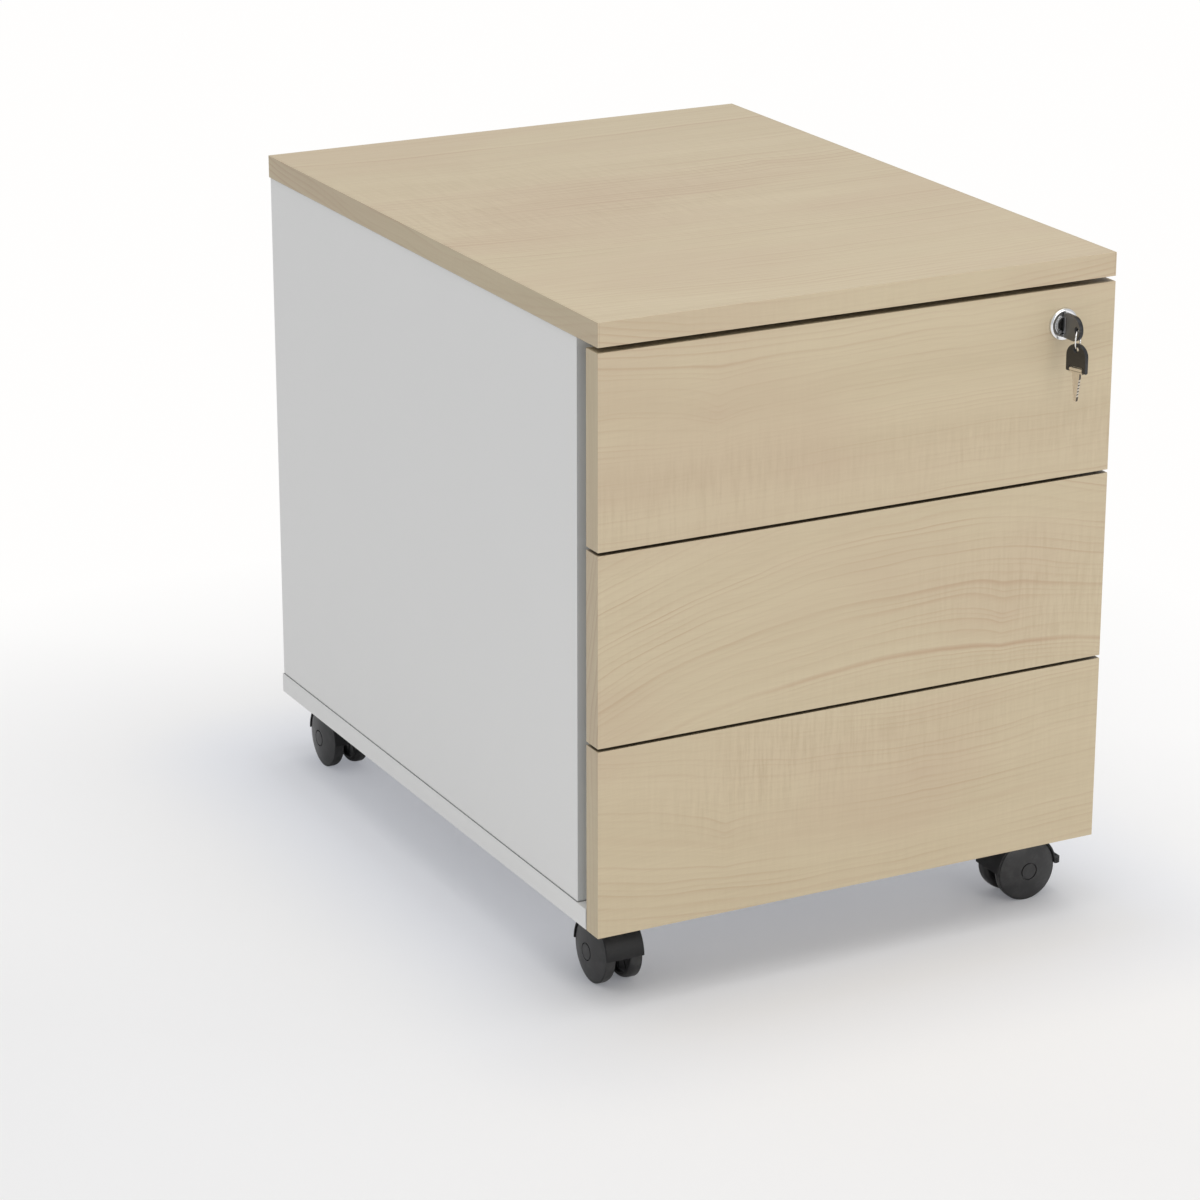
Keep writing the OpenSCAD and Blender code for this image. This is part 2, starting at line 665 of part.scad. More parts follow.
// Cut blade: barrel round the pin, shoulders that stop at the plug, two rows of notches that grow deeper
// towards the tip, a long groove
module key_blade_shape() {
    notches = 6;
    plain = shoulder + 3.5;
    tip = 3.4;
    tip_w = 2;
    notched_w = 3.2;
    notch = 0.5;
    groove_w = 0.8;
    pitch = (blade_len - tip - plain)/notches;
    narrower = (blade_w - notched_w)/2/notches;
    edge = [for (i = [0:notches - 1]) each [
        [blade_w/2 - i*narrower, -plain - i*pitch],
        [blade_w/2 - i*narrower - notch*(1 + (i % 2)/2), -plain - (i + 0.5)*pitch],
    ]];
    difference() {
        union() {
            rotate([90, 0, 0]) cylinder(r = bow_t/2, h = barrel_w, center = true);
            block(-blade_t/2, blade_t/2, -barrel_w/2, barrel_w/2, -shoulder, 0);
            translate([-blade_t/2, 0, 0]) rotate([90, 0, 90]) linear_extrude(blade_t) polygon(concat(
                [[blade_w/2, 0]], edge, [[notched_w/2, -blade_len + tip], [tip_w/2, -blade_len]],
                [[-tip_w/2, -blade_len], [-notched_w/2, -blade_len + tip]],
                [for (i = [len(edge) - 1:-1:0]) [-edge[i][0], edge[i][1]]], [[-blade_w/2, 0]]));
        }
        rotate([90, 0, 0]) cylinder(r = key_pin_d/2 + run_gap, h = 2*bow_w, center = true);
        block(blade_t/2 - 0.5, blade_t, -groove_w/2, groove_w/2, -blade_len - bite, -shoulder - 1.5);
    }
}

module at_key() at_lock() translate([0, 0, key_pin_y]) children();
module at_spare() centred() translate([lock_x, -ring_hole_out, lock_z - 2*ring_r - bow_hole])
    rotate([0, 0, spare_turn]) children();

module key_blade() color(zinc) at_key() key_blade_shape();
module key_bow() color(nylon_black) at_key() key_bow_shape();
module spare_key_blade() color(zinc) at_spare() key_blade_shape();
module spare_key_bow() color(nylon_black) at_spare() key_bow_shape();

module key_ring() color(zinc) centred() translate([lock_x, -ring_hole_out, lock_z - ring_r])
    rotate([90, 0, ring_turn]) rotate_extrude() translate([ring_r, 0]) circle(d = ring_wire_d);

// ---------------------------------------------------------------- casters
// A caster's own frame: axle along X, trailing side towards +Y, origin at the middle of the axle

module at_kingpin(c) translate([c[0], c[1], 0]) rotate([0, 0, c[2]]) children();
module at_hub(i) centred() at_kingpin(CASTERS[i]) translate([0, trail, wheel_r]) children();
module caster_screw_places(c) at_kingpin(c) for (sx = [-1, 1], sy = [-1, 1])
    translate([sx*plate_hole, sy*plate_hole, caster_h]) children();

// Pressed plate with a bearing cup and the riveted kingpin
module caster_plates() color(zinc) centred() for (c = CASTERS) {
    half = plate_w/2;
    corner = 4;
    pin_z0 = wheel_r + kingpin_lift;
    difference() {
        at_kingpin(c) {
            for (a = [0, 90]) rotate([0, 0, a])
                block(-half, half, corner - half, half - corner, caster_h - plate_t, caster_h);
            for (sx = [-1, 1], sy = [-1, 1])
                translate([sx*(half - corner), sy*(half - corner), caster_h - plate_t])
                    cylinder(r = corner, h = plate_t);
            translate([0, 0, cup_under])
                cylinder(r1 = collar_r + 1.5, r2 = collar_r + 3, h = caster_h - plate_t - cup_under + bite);
            translate([0, 0, pin_z0]) cylinder(d = kingpin_d, h = caster_h - pin_z0);
        }
        caster_screw_places(c) translate([0, 0, -plate_t - bite])
            cylinder(d = caster_screw_d + 0.4, h = plate_t + 2*bite);
    }
}

module caster_screws() color(zinc) centred() for (c = CASTERS) caster_screw_places(c) difference() {
    head_d = 2*caster_screw_d;
    head_h = 2;
    cross = 1.8;
    union() {
        translate([0, 0, -plate_t - head_h]) cylinder(d1 = head_d - 2.5, d2 = head_d, h = head_h);
        translate([0, 0, -plate_t - bite]) cylinder(d = caster_screw_d, h = plate_t + screw_bite + bite);
    }
    for (a = [0, 90]) rotate([0, 0, a])
        block(-cross, cross, -0.4, 0.4, -plate_t - head_h - bite, -plate_t - head_h/2);
}

// Solid wheel: flat inner face with a ring-shaped recess, rounded tread edges, domed outer face with a
// groove round its plug
module wheel_shape() difference() {
    wheel_plug_r = 6.2;
    plug_groove = 1.4;
    rotate([0, 90, 0]) union() {
        rotate_extrude() polygon([
            [0, wheel_in], [wheel_r - 0.8, wheel_in], [wheel_r - 0.2, wheel_in + 0.3],
            [wheel_r, wheel_in + 0.9], [wheel_r, tread_out - 1], [wheel_r - 0.3, tread_out - 0.4],
            [disc_r, tread_out], [0, tread_out],
        ]);
        intersection() {
            translate([0, 0, tread_out - bite]) cylinder(r = disc_r, h = dome_h + 1);
            translate([0, 0, wheel_tip - dome_r]) sphere(r = dome_r, $fn = 128);
        }
    }
    rod_x(wheel_in - bite, wheel_tip - 3, axle_d/2 + run_gap);
    difference() {
        rod_x(wheel_in - bite, wheel_in + recess_h, rim_in);
        rod_x(wheel_in - 2*bite, wheel_in + recess_h + bite, hub_r);
    }
    difference() {
        rod_x(wheel_tip - plug_groove, wheel_tip + 1, wheel_plug_r + 0.7);
        rod_x(wheel_tip - plug_groove - bite, wheel_tip + 2, wheel_plug_r);
    }
}

module outer_wheel(i) color(nylon_black) at_hub(i) mirror([1, 0, 0]) wheel_shape();
module inner_wheel(i) color(nylon_black) at_hub(i) wheel_shape();

// The axle, and on a braked caster the lever's pivot pin
module axle(i, braked) color(zinc) at_hub(i) {
    rod_x(-wheel_tip + 3.5, wheel_tip - 3.5, axle_d/2);
    if (braked) translate([0, pivot_t, 0]) rod_x(-web_half, web_half, pivot_d/2);
}

// A plate square to the axle, from an outline in the caster's Y and Z
module across(half) translate([-half, 0, 0]) rotate([90, 0, 90]) linear_extrude(2*half) children();

// Moulded hood: a half drum over both treads, a web between the wheels down to the axle,
// and a collar for the kingpin. A braked one has room in its web for the lever.
module hood(i, braked) color(nylon_black) at_hub(i) difference() {
    ease = 1.2;
    union() {
        intersection() {
            difference() {
                union() {
                    rod_x(-hood_w/2 + ease, hood_w/2 - ease, hood_r);
                    rod_x(-hood_w/2, hood_w/2, hood_r - ease);
                    for (s = [-1, 1]) translate([s*(hood_w/2 - ease), 0, 0]) rotate([0, 90, 0])
                        rotate_extrude() translate([hood_r - ease, 0]) circle(r = ease);
                }
                rod_x(-hood_w, hood_w, hood_in);
            }
            block(-hood_w, hood_w, -2*hood_r, 2*hood_r, hood_cut, 2*hood_r);
        }
        intersection() {
            rod_x(-web_half, web_half, hood_in + hood_t/2);
            block(-hood_w, hood_w, -2*hood_r, 2*hood_r, hood_cut, 2*hood_r);
        }
        rod_x(-web_half, web_half, hub_r);
        if (braked) {
            translate([0, pivot_t, 0]) rod_x(-web_half, web_half, pivot_boss_r);
            block(-web_half, web_half, 0, pivot_t, -pivot_boss_r, hood_cut + bite);
        }
        translate([0, -trail, hood_in - collar_r/2])
            cylinder(r = collar_r, h = collar_top - wheel_r - hood_in + collar_r/2);
    }
    for (s = [0, 1]) mirror([s, 0, 0]) rod_x(web_half, hood_w, hood_in);
    translate([0, -trail, kingpin_lift - part_gap]) cylinder(d = kingpin_d + 2*run_gap, h = caster_h);
    rod_x(-hood_w, hood_w, axle_d/2);
    if (braked) {
        slot_half = lever_half + 0.3;
        head_room = 3;
        window_deep = 4;
        translate([0, pivot_t, 0]) rod_x(-hood_w, hood_w, pivot_d/2);
        block(-slot_half, slot_half, axle_d/2 + 1.5, 2*hood_r, -hood_r, shoe_at[1] + shoe_r + head_room);
        block(-slot_half, slot_half, shoe_up[0] - 1, pivot_t, shoe_up[1]/2, shoe_up[1]);
        block(-hood_w, hood_w, shoe_up[0] - shoe_r - part_gap, shoe_at[0] + shoe_r + part_gap,
              shoe_up[1] - shoe_r - part_gap, shoe_at[1] + shoe_r + part_gap);
        block(-pedal_w/2 - 1, pedal_w/2 + 1, hood_in - window_deep, 2*hood_r, 0, pedal_window);
    }
}

// Brake lever: a pedal behind the hood, an arm on the pivot pin, and a bar that wedges inside both rims
module brake_lever(i) color(nylon_black) at_hub(i) difference() {
    arm_in = hood_r + 0.8;
    arm_run = shoe_at - [pivot_t, 0];
    union() {
        across(lever_half) {
            translate([pivot_t, 0]) circle(r = 4);
            translate([pivot_t, 0]) rotate(atan2(arm_run[1], arm_run[0]))
                translate([0, -shoe_r]) square([norm(arm_run), 2*shoe_r]);
            polygon([[pivot_t - 1, -3.9], [pivot_t + 3, 2.6], [arm_in + 1, -pedal_drop],
                     [arm_in + 1, -pedal_drop - pedal_t]]);
        }
        translate([0, shoe_at[0], shoe_at[1]]) rod_x(-wheel_in - shoe_reach, wheel_in + shoe_reach, shoe_r);
        translate([0, 0, -pedal_drop - pedal_t]) {
            block(-pedal_w/2, pedal_w/2, arm_in, pedal_reach - pedal_w/4, 0, pedal_t);
            intersection() {
                translate([0, pedal_reach - pedal_w, 0]) cylinder(r = pedal_w, h = pedal_t);
                block(-pedal_w/2, pedal_w/2, pedal_reach - pedal_w/4 - bite, pedal_reach, 0, pedal_t);
            }
        }
    }
    translate([0, pivot_t, 0]) rod_x(-hood_w, hood_w, pivot_d/2 + run_gap);
}

top_panel();
side_panel_left();
side_panel_right();
bottom_panel();
back_panel();
cam_fittings();
dowels();
panel_screws();
runner_rails(2);  // runner_rails_top
runner_rails(1);  // runner_rails_middle
runner_rails(0);  // runner_rails_bottom
runner_screws();
lock_bar_guides();
caster_plates();
caster_screws();
drawer_front(2);  // drawer_front_top
drawer_sides(2);  // drawer_sides_top
drawer_back(2);  // drawer_back_top
drawer_bottom(2);  // drawer_bottom_top
rear_rollers(2);  // rear_rollers_top
front_rollers(2);  // front_rollers_top
drawer_front(1);  // drawer_front_middle
drawer_sides(1);  // drawer_sides_middle
drawer_back(1);  // drawer_back_middle
drawer_bottom(1);  // drawer_bottom_middle
rear_rollers(1);  // rear_rollers_middle
front_rollers(1);  // front_rollers_middle
drawer_front(0);  // drawer_front_bottom
drawer_sides(0);  // drawer_sides_bottom
drawer_back(0);  // drawer_back_bottom
drawer_bottom(0);  // drawer_bottom_bottom
rear_rollers(0);  // rear_rollers_bottom
front_rollers(0);  // front_rollers_bottom
lock_housing();
lock_plug();
lock_cam();
lock_bar();
key_blade();
key_bow();
key_ring();
spare_key_bow();
spare_key_blade();
hood(0, true);  // hood_front_left
axle(0, true);  // axle_front_left
outer_wheel(0);  // outer_wheel_front_left
inner_wheel(0);  // inner_wheel_front_left
brake_lever(0);  // brake_lever_front_left
hood(1, true);  // hood_front_right
axle(1, true);  // axle_front_right
outer_wheel(1);  // outer_wheel_front_right
inner_wheel(1);  // inner_wheel_front_right
brake_lever(1);  // brake_lever_front_right
hood(2, false);  // hood_back_left
axle(2, false);  // axle_back_left
outer_wheel(2);  // outer_wheel_back_left
inner_wheel(2);  // inner_wheel_back_left
hood(3, false);  // hood_back_right
axle(3, false);  // axle_back_right
outer_wheel(3);  // outer_wheel_back_right
inner_wheel(3);  // inner_wheel_back_right
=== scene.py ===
import math

import bmesh
import bpy
from mathutils import Matrix, Vector


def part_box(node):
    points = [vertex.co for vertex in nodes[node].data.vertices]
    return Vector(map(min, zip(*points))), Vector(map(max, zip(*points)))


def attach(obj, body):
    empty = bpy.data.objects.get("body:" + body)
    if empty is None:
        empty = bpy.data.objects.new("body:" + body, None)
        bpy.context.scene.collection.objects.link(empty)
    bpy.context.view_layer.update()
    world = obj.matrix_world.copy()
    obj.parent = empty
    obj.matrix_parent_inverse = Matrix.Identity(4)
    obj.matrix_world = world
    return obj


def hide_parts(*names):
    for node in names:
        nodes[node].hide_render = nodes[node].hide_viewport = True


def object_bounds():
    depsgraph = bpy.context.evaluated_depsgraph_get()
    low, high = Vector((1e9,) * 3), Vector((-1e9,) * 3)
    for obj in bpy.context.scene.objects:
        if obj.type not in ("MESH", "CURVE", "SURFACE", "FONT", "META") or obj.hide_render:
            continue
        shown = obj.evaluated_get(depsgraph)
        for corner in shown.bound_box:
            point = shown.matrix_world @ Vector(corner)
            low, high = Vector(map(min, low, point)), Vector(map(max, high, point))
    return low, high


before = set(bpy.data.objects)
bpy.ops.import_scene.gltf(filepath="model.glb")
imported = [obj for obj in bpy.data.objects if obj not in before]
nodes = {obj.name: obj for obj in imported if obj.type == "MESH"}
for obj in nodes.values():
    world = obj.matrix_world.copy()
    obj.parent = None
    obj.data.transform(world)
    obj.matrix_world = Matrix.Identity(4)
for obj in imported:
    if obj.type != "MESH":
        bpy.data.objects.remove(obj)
cad_low, cad_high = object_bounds()


# ---------------------------------------------------------------- Maple boards
# The top and the three drawer fronts are 18 mm chipboard, faced on both sides with a satin maple-figured
# laminate and closed round the edges with a band of the same figure. The top lies on the sides and is
# drawn down on them; each front is screwed to its drawer from behind.

MAPLE_PALE = (0.630, 0.529, 0.361, 1)
MAPLE_WARM = (0.530, 0.430, 0.280, 1)
MAPLE_PINK = (0.560, 0.428, 0.298, 1)
MAPLE_LINE = (0.465, 0.305, 0.190, 1)
# The near-black colour of the painted shade in the gaps between boards.
PAINTED_GAP_SHADE = (0.055, 0.036, 0.018, 1)
MAPLE_SEAM = (0.230, 0.165, 0.100, 1)
BAND = 0.0012
EDGE_RADIUS = 0.0009
# The distance between growth lines, the waves that shift them as (waves per metre, shift), and how far
# a knot bends and stains the lines, along and across the grain.
RING = 0.0058
WAVES = (((2.6, 4.2, 4.2), 0.044), ((8.0, 14.0, 14.0), 0.010), ((26.0, 60.0, 60.0), 0.0020))
KNOT_BEND, KNOT_STAIN = (0.016, 0.026), (0.012, 0.006)
GAP_SHADE_REACH = 0.006
DRAWERS = ("top", "middle", "bottom")


def put(tree, kind, *sources, out=0, **settings):
    """Adds a shader node, feeds its sockets in order with values or other sockets, and returns an output."""
    made = tree.nodes.new(kind)
    for key, value in settings.items():
        setattr(made, key, value)
    for socket, source in zip(made.inputs, sources):
        if isinstance(source, bpy.types.NodeSocket):
            tree.links.new(source, socket)
        elif source is not None:
            socket.default_value = source
    return made.outputs[out]


def calc(tree, operation, *sources):
    return put(tree, "ShaderNodeMath", *sources, operation=operation)


def step_between(tree, value, low, high):
    """0 below low, 1 above high, and a smooth rise between them."""
    return put(tree, "ShaderNodeMapRange", value, low, high, 0.0, 1.0, interpolation_type="SMOOTHSTEP")


def mix_colours(tree, amount, first, second):
    node = tree.nodes.new("ShaderNodeMix")
    node.data_type = "RGBA"
    for socket, source in ((node.inputs[0], amount), (node.inputs[6], first), (node.inputs[7], second)):
        if isinstance(source, bpy.types.NodeSocket):
            tree.links.new(source, socket)
        else:
            socket.default_value = source
    return node.outputs[2]


def speckle(tree, place, scales, detail=2.0, rough=0.5):
    """Noise whose grains are 1/scale long in each direction."""
    stretched = put(tree, "ShaderNodeVectorMath", place, scales, operation="MULTIPLY")
    return put(tree, "ShaderNodeTexNoise", stretched, None, 1.0, detail, rough)


def near_faces(tree, reach):
    """1 in the open, and darker where other faces stand within reach."""
    return put(tree, "ShaderNodeAmbientOcclusion", None, reach, samples=6, out=1)


def new_material(name, roughness, metallic=0.0):
    material = bpy.data.materials.new(name)
    material.use_nodes = True
    shader = material.node_tree.nodes["Principled BSDF"]
    shader.inputs["Roughness"].default_value = roughness
    shader.inputs["Metallic"].default_value = metallic
    return material, material.node_tree, shader


def bump(tree, shader, height, depth, strength=1.0):
    raised = put(tree, "ShaderNodeBump", strength, depth, None, height)
    tree.links.new(raised, shader.inputs["Normal"])


def box_faces(tree, band_along_y):
    """For a square-cut board: where a point lies as (along the grain, across it, into the board), and its
    plain place. The bands on the faces turned to X have their grain along Z, or along Y if asked."""
    coords = tree.nodes.new("ShaderNodeTexCoord")
    place = put(tree, "ShaderNodeSeparateXYZ", coords.outputs["Object"]).node
    facing = put(tree, "ShaderNodeSeparateXYZ", coords.outputs["Normal"]).node
    x, y, z = place.outputs
    on_x = calc(tree, "GREATER_THAN", calc(tree, "ABSOLUTE", facing.outputs[0]), 0.7)
    on_z = calc(tree, "GREATER_THAN", calc(tree, "ABSOLUTE", facing.outputs[2]), 0.7)
    side = put(tree, "ShaderNodeCombineXYZ", *((y, z, x) if band_along_y else (z, y, x)))
    upright = put(tree, "ShaderNodeCombineXYZ", x, z, y)
    level = put(tree, "ShaderNodeCombineXYZ", x, y, z)
    flat = put(tree, "ShaderNodeMix", on_z, None, None, None, upright, level, data_type="VECTOR", out=1)
    return put(tree, "ShaderNodeMix", on_x, None, None, None, flat, side, data_type="VECTOR", out=1), place


def centred(tree, noise):
    return calc(tree, "SUBTRACT", noise, 0.5)


def along_level(tree, value, detail):
    """Noise that changes only from one growth level to the next."""
    return put(tree, "ShaderNodeTexNoise", None, value, 1.0, detail, 0.5, noise_dimensions="1D")


def spot_at(tree, along, across, spot, length, height):
    """1 at a spot on the board, falling off along and across the grain."""
    left = calc(tree, "SUBTRACT", along, spot[0])
    left = calc(tree, "SQRT", calc(tree, "MULTIPLY_ADD", left, left, (length/4)**2))
    up = calc(tree, "SUBTRACT", across, spot[1])
    narrow = calc(tree, "EXPONENT", calc(tree, "MULTIPLY", left, -1/length))
    near = calc(tree, "EXPONENT", calc(tree, "MULTIPLY", calc(tree, "MULTIPLY", up, up), -1/height**2))
    return calc(tree, "MULTIPLY", narrow, near)


def growth_lines(tree, where, along, across, figure):
    """The growth level, how clearly its thin late lines show here, and the stain round the knots."""
    lean, arch, middle, knots, lines = figure
    off = calc(tree, "SUBTRACT", along, middle)
    level = calc(tree, "MULTIPLY_ADD", calc(tree, "MULTIPLY", off, off), arch, across)
    level = calc(tree, "MULTIPLY_ADD", off, lean, level)
    for scales, height in WAVES:
        level = calc(tree, "MULTIPLY_ADD", centred(tree, speckle(tree, where, scales)), height, level)
    stained = 0.0
    for spot, depth in knots:
        level = calc(tree, "MULTIPLY_ADD", spot_at(tree, along, across, spot, *KNOT_BEND), depth, level)
        stained = calc(tree, "ADD", spot_at(tree, along, across, spot, *KNOT_STAIN), stained)
    turns = calc(tree, "DIVIDE", level, RING)
    uneven = along_level(tree, calc(tree, "MULTIPLY", turns, 0.37), 1.0)
    turns = calc(tree, "MULTIPLY_ADD", uneven, 2.6, turns)
    through = calc(tree, "FRACT", turns)
    late = calc(tree, "MULTIPLY", calc(tree, "POWER", through, 4.0),
                calc(tree, "SUBTRACT", 1.0, step_between(tree, through, 0.84, 1.0)))
    own = put(tree, "ShaderNodeTexWhiteNoise", None, calc(tree, "FLOOR", turns), noise_dimensions="1D")
    own = calc(tree, "MULTIPLY_ADD", calc(tree, "POWER", own, 1.4), 0.75, 0.25)
    clear = step_between(tree, speckle(tree, where, (4.5, 15.0, 15.0)), 0.38, 0.68)
    clear = calc(tree, "MULTIPLY", calc(tree, "MULTIPLY_ADD", clear, 0.75, 0.25), own)
    clear = calc(tree, "MULTIPLY_ADD", stained, 0.3, clear)
    return level, calc(tree, "MULTIPLY", calc(tree, "MULTIPLY", late, clear), lines), stained


def maple(name, figure, curl, band_along_y):
    """Maple figure: growth lines that run the length of the board in gentle waves, over an arch and past
    small knots, with one patch of cross ripple at curl, soft bands, fine fibre and short pores, and painted
    shade that turns it near black where other faces stand close, as in the gaps between the fronts."""
    material, tree, shader = new_material(name, 0.42)
    where, place = box_faces(tree, band_along_y)
    along, across = put(tree, "ShaderNodeSeparateXYZ", where).node.outputs[:2]
    level, drawn, stained = growth_lines(tree, where, along, across, figure)
    bands = along_level(tree, calc(tree, "MULTIPLY", level, 34.0), 2.0)
    patch = speckle(tree, where, (3.0, 7.0, 7.0))
    fibre = speckle(tree, where, (24.0, 620.0, 620.0), 3.0, 0.6)
    threads = speckle(tree, where, (60.0, 1900.0, 1900.0), 2.0, 0.6)
    pores = step_between(tree, speckle(tree, where, (190.0, 2400.0, 2400.0), 1.0, 0.4), 0.66, 0.74)
    ripple = speckle(tree, where, (360.0, 30.0, 30.0), 3.0, 0.65)
    rippled = step_between(tree, speckle(tree, where, (4.0, 9.0, 9.0)), 0.36, 0.56)
    curly = spot_at(tree, along, across, *curl)
    curled = calc(tree, "MULTIPLY", curly, calc(tree, "MULTIPLY_ADD", rippled, 1.3, 0.8))
    rippled = calc(tree, "MULTIPLY_ADD", rippled, 0.22, curled)

    tone = calc(tree, "MULTIPLY", patch, 0.50)
    tone = calc(tree, "MULTIPLY_ADD", centred(tree, bands), 0.62, tone)
    tone = calc(tree, "MULTIPLY_ADD", centred(tree, fibre), 0.55, tone)
    tone = calc(tree, "MULTIPLY_ADD", centred(tree, threads), 0.50, tone)
    tone = calc(tree, "MULTIPLY_ADD", calc(tree, "MULTIPLY", centred(tree, ripple), rippled), 1.9, tone)
    colour = mix_colours(tree, tone, MAPLE_PALE, MAPLE_WARM)
    pink = step_between(tree, speckle(tree, where, (4.0, 11.0, 11.0), 3.0), 0.44, 0.66)
    pink = calc(tree, "MULTIPLY_ADD", pink, 0.34, calc(tree, "MULTIPLY", stained, 0.25))
    pink = calc(tree, "MULTIPLY_ADD", curly, 0.30, pink)
    colour = mix_colours(tree, pink, colour, MAPLE_PINK)
    colour = mix_colours(tree, drawn, colour, MAPLE_LINE)
    colour = mix_colours(tree, calc(tree, "MULTIPLY", pores, 0.08), colour, MAPLE_LINE)
    # Painted shade: where other faces stand within a few millimetres, as in the gaps between the fronts, the
    # colour turns near black.
    gap_shade = step_between(tree, near_faces(tree, GAP_SHADE_REACH), 0.62, 0.28)
    colour = mix_colours(tree, calc(tree, "MULTIPLY", gap_shade, 0.92), colour, PAINTED_GAP_SHADE)
    return material, tree, shader, colour, place, fibre, pores


def band_seam(tree, place, low, high, axis, colour):
    """A hair-thin darker joint where the edge band at the two ends meets the laminate of a broad face."""
    middle, half = (low[axis] + high[axis])/2, (high[axis] - low[axis])/2
    off = calc(tree, "ABSOLUTE", calc(tree, "SUBTRACT", place.outputs[axis], middle))
    away = calc(tree, "ABSOLUTE", calc(tree, "SUBTRACT", calc(tree, "SUBTRACT", half, off), BAND))
    joint = calc(tree, "SUBTRACT", 1.0, step_between(tree, away, 0.00004, 0.00016))
    return mix_colours(tree, calc(tree, "MULTIPLY", joint, 0.55), colour, MAPLE_SEAM)


def dress(node, material):
    """Gives every face of a CAD part one material."""
    for slot in nodes[node].material_slots:
        slot.link = "OBJECT"
        slot.material = material


def finish_maple(node, figure, curl, seam=False, band_along_y=False):
    low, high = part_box(node)
    material, tree, shader, colour, place, fibre, pores = maple("maple_" + node, figure, curl, band_along_y)
    if seam:
        colour = band_seam(tree, place, low, high, 0, colour)
    tree.links.new(colour, shader.inputs["Base Color"])
    dull = calc(tree, "MULTIPLY_ADD", fibre, 0.16, 0.36)
    tree.links.new(calc(tree, "MULTIPLY_ADD", pores, 0.12, dull), shader.inputs["Roughness"])
    bump(tree, shader, calc(tree, "SUBTRACT", fibre, pores), 0.00006, 0.35)
    dress(node, material)


def soften(node, radius, segments=3, angle=35):
    """Rounds the part's sharp edges a little, as a band, a fold or a moulding has them."""
    part = nodes[node]
    weld = part.modifiers.new("weld", "WELD")
    weld.merge_threshold = 0.000002
    flat = part.modifiers.new("flat", "DECIMATE")
    flat.decimate_type, flat.angle_limit = "DISSOLVE", math.radians(0.5)
    edge = part.modifiers.new("edge", "BEVEL")
    edge.width, edge.segments = radius, segments
    edge.limit_method, edge.angle_limit = "ANGLE", math.radians(angle)
    edge.harden_normals = True


# Each board's lean, arch, the arch's middle, its knots (place, depth), how strong its lines are, and
# where its cross ripple lies (place, length, height).
TOP_BOARD = (0.04, -0.30, -0.02, (((0.13, 0.10), -0.008),), 1.35), ((-0.10, 0.05), 0.15, 0.08)
FRONTS = {
    "top": ((0.03, -0.10, -0.06, (((-0.119, 0.447), 0.010), ((0.16, 0.470), -0.004)), 1.05),
            ((0.0, 0.392), 0.30, 0.030)),
    "middle": ((0.0, 0.60, 0.07, (((0.125, 0.256), 0.008),), 1.45), ((0.16, 0.27), 0.05, 0.05)),
    "bottom": ((0.07, -0.22, -0.07, (((-0.11, 0.125), 0.010), ((0.06, 0.142), -0.003)), 1.0),
               ((-0.07, 0.175), 0.10, 0.035)),
}
finish_maple("top_panel", *TOP_BOARD, seam=True, band_along_y=True)
soften("top_panel", EDGE_RADIUS)
for drawer in DRAWERS:
    finish_maple("drawer_front_" + drawer, *FRONTS[drawer])
    soften("drawer_front_" + drawer, EDGE_RADIUS)


# ---------------------------------------------------------------- Carcass boards
# Both sides, the bottom and the back are chipboard faced with a plain warm white melamine that has a
# very fine pearl texture. Every face that looks to the front is painted a darker bluish grey, for the shade
# the drawer fronts cast on the sides' front edges. The sides stand between the top and the bottom;
# painted shade darkens the joints and inner corners between the boards to a thin dark line.

MELAMINE = (0.875, 0.868, 0.852, 1)
MELAMINE_SPECK = (0.838, 0.831, 0.816, 1)
PAINTED_FRONT_EDGE_SHADE = (0.700, 0.722, 0.735, 1)
# Painted shade for the joints and inner corners between boards, and how near other faces must stand for it.
PAINTED_JOINT_SHADE = (0.050, 0.054, 0.060, 1)
JOINT_SHADE_REACH = 0.0012


def melamine():
    material, tree, shader = new_material("white_melamine", 0.5)
    coords = tree.nodes.new("ShaderNodeTexCoord")
    where = coords.outputs["Object"]
    cloud = speckle(tree, where, (9.0, 9.0, 9.0), 3.0)
    pearl = speckle(tree, where, (1400.0, 1400.0, 1400.0), 2.0, 0.6)
    grain = calc(tree, "MULTIPLY_ADD", pearl, 0.5, calc(tree, "MULTIPLY", cloud, 0.3))
    colour = mix_colours(tree, grain, MELAMINE, MELAMINE_SPECK)
    # Painted shade: faces that look to the front turn a darker bluish grey, for the shade behind the drawer
    # fronts.
    ahead = put(tree, "ShaderNodeSeparateXYZ", coords.outputs["Normal"], out=1)
    colour = mix_colours(tree, step_between(tree, ahead, -0.7, -0.9), colour, PAINTED_FRONT_EDGE_SHADE)
    # Painted shade: where other faces stand within 1.2 mm, as in the joints and inner corners between boards,
    # the colour turns near black.
    joint = step_between(tree, near_faces(tree, JOINT_SHADE_REACH), 0.93, 0.60)
    colour = mix_colours(tree, calc(tree, "MULTIPLY", joint, 0.9), colour, PAINTED_JOINT_SHADE)
    tree.links.new(colour, shader.inputs["Base Color"])
    tree.links.new(calc(tree, "MULTIPLY_ADD", pearl, 0.2, 0.42), shader.inputs["Roughness"])
    bump(tree, shader, pearl, 0.00004, 0.25)
    return material


white_melamine = melamine()
carcass = ["side_panel_left", "side_panel_right", "bottom_panel", "back_panel"]
for drawer in DRAWERS:
    carcass += ["drawer_bottom_" + drawer, "drawer_back_" + drawer]
for board in carcass:
    dress(board, white_melamine)
    soften(board, 0.0004, 2)


# ---------------------------------------------------------------- Steel drawer sides and runners
# Folded steel sheet, powder coated in a light grey. The sides carry the drawer bottom; the rails are
# screwed to the cabinet's sides and guide the nylon rollers.

STEEL_COAT = (0.560, 0.570, 0.580, 1)
STEEL_COAT_DARK = (0.480, 0.490, 0.500, 1)


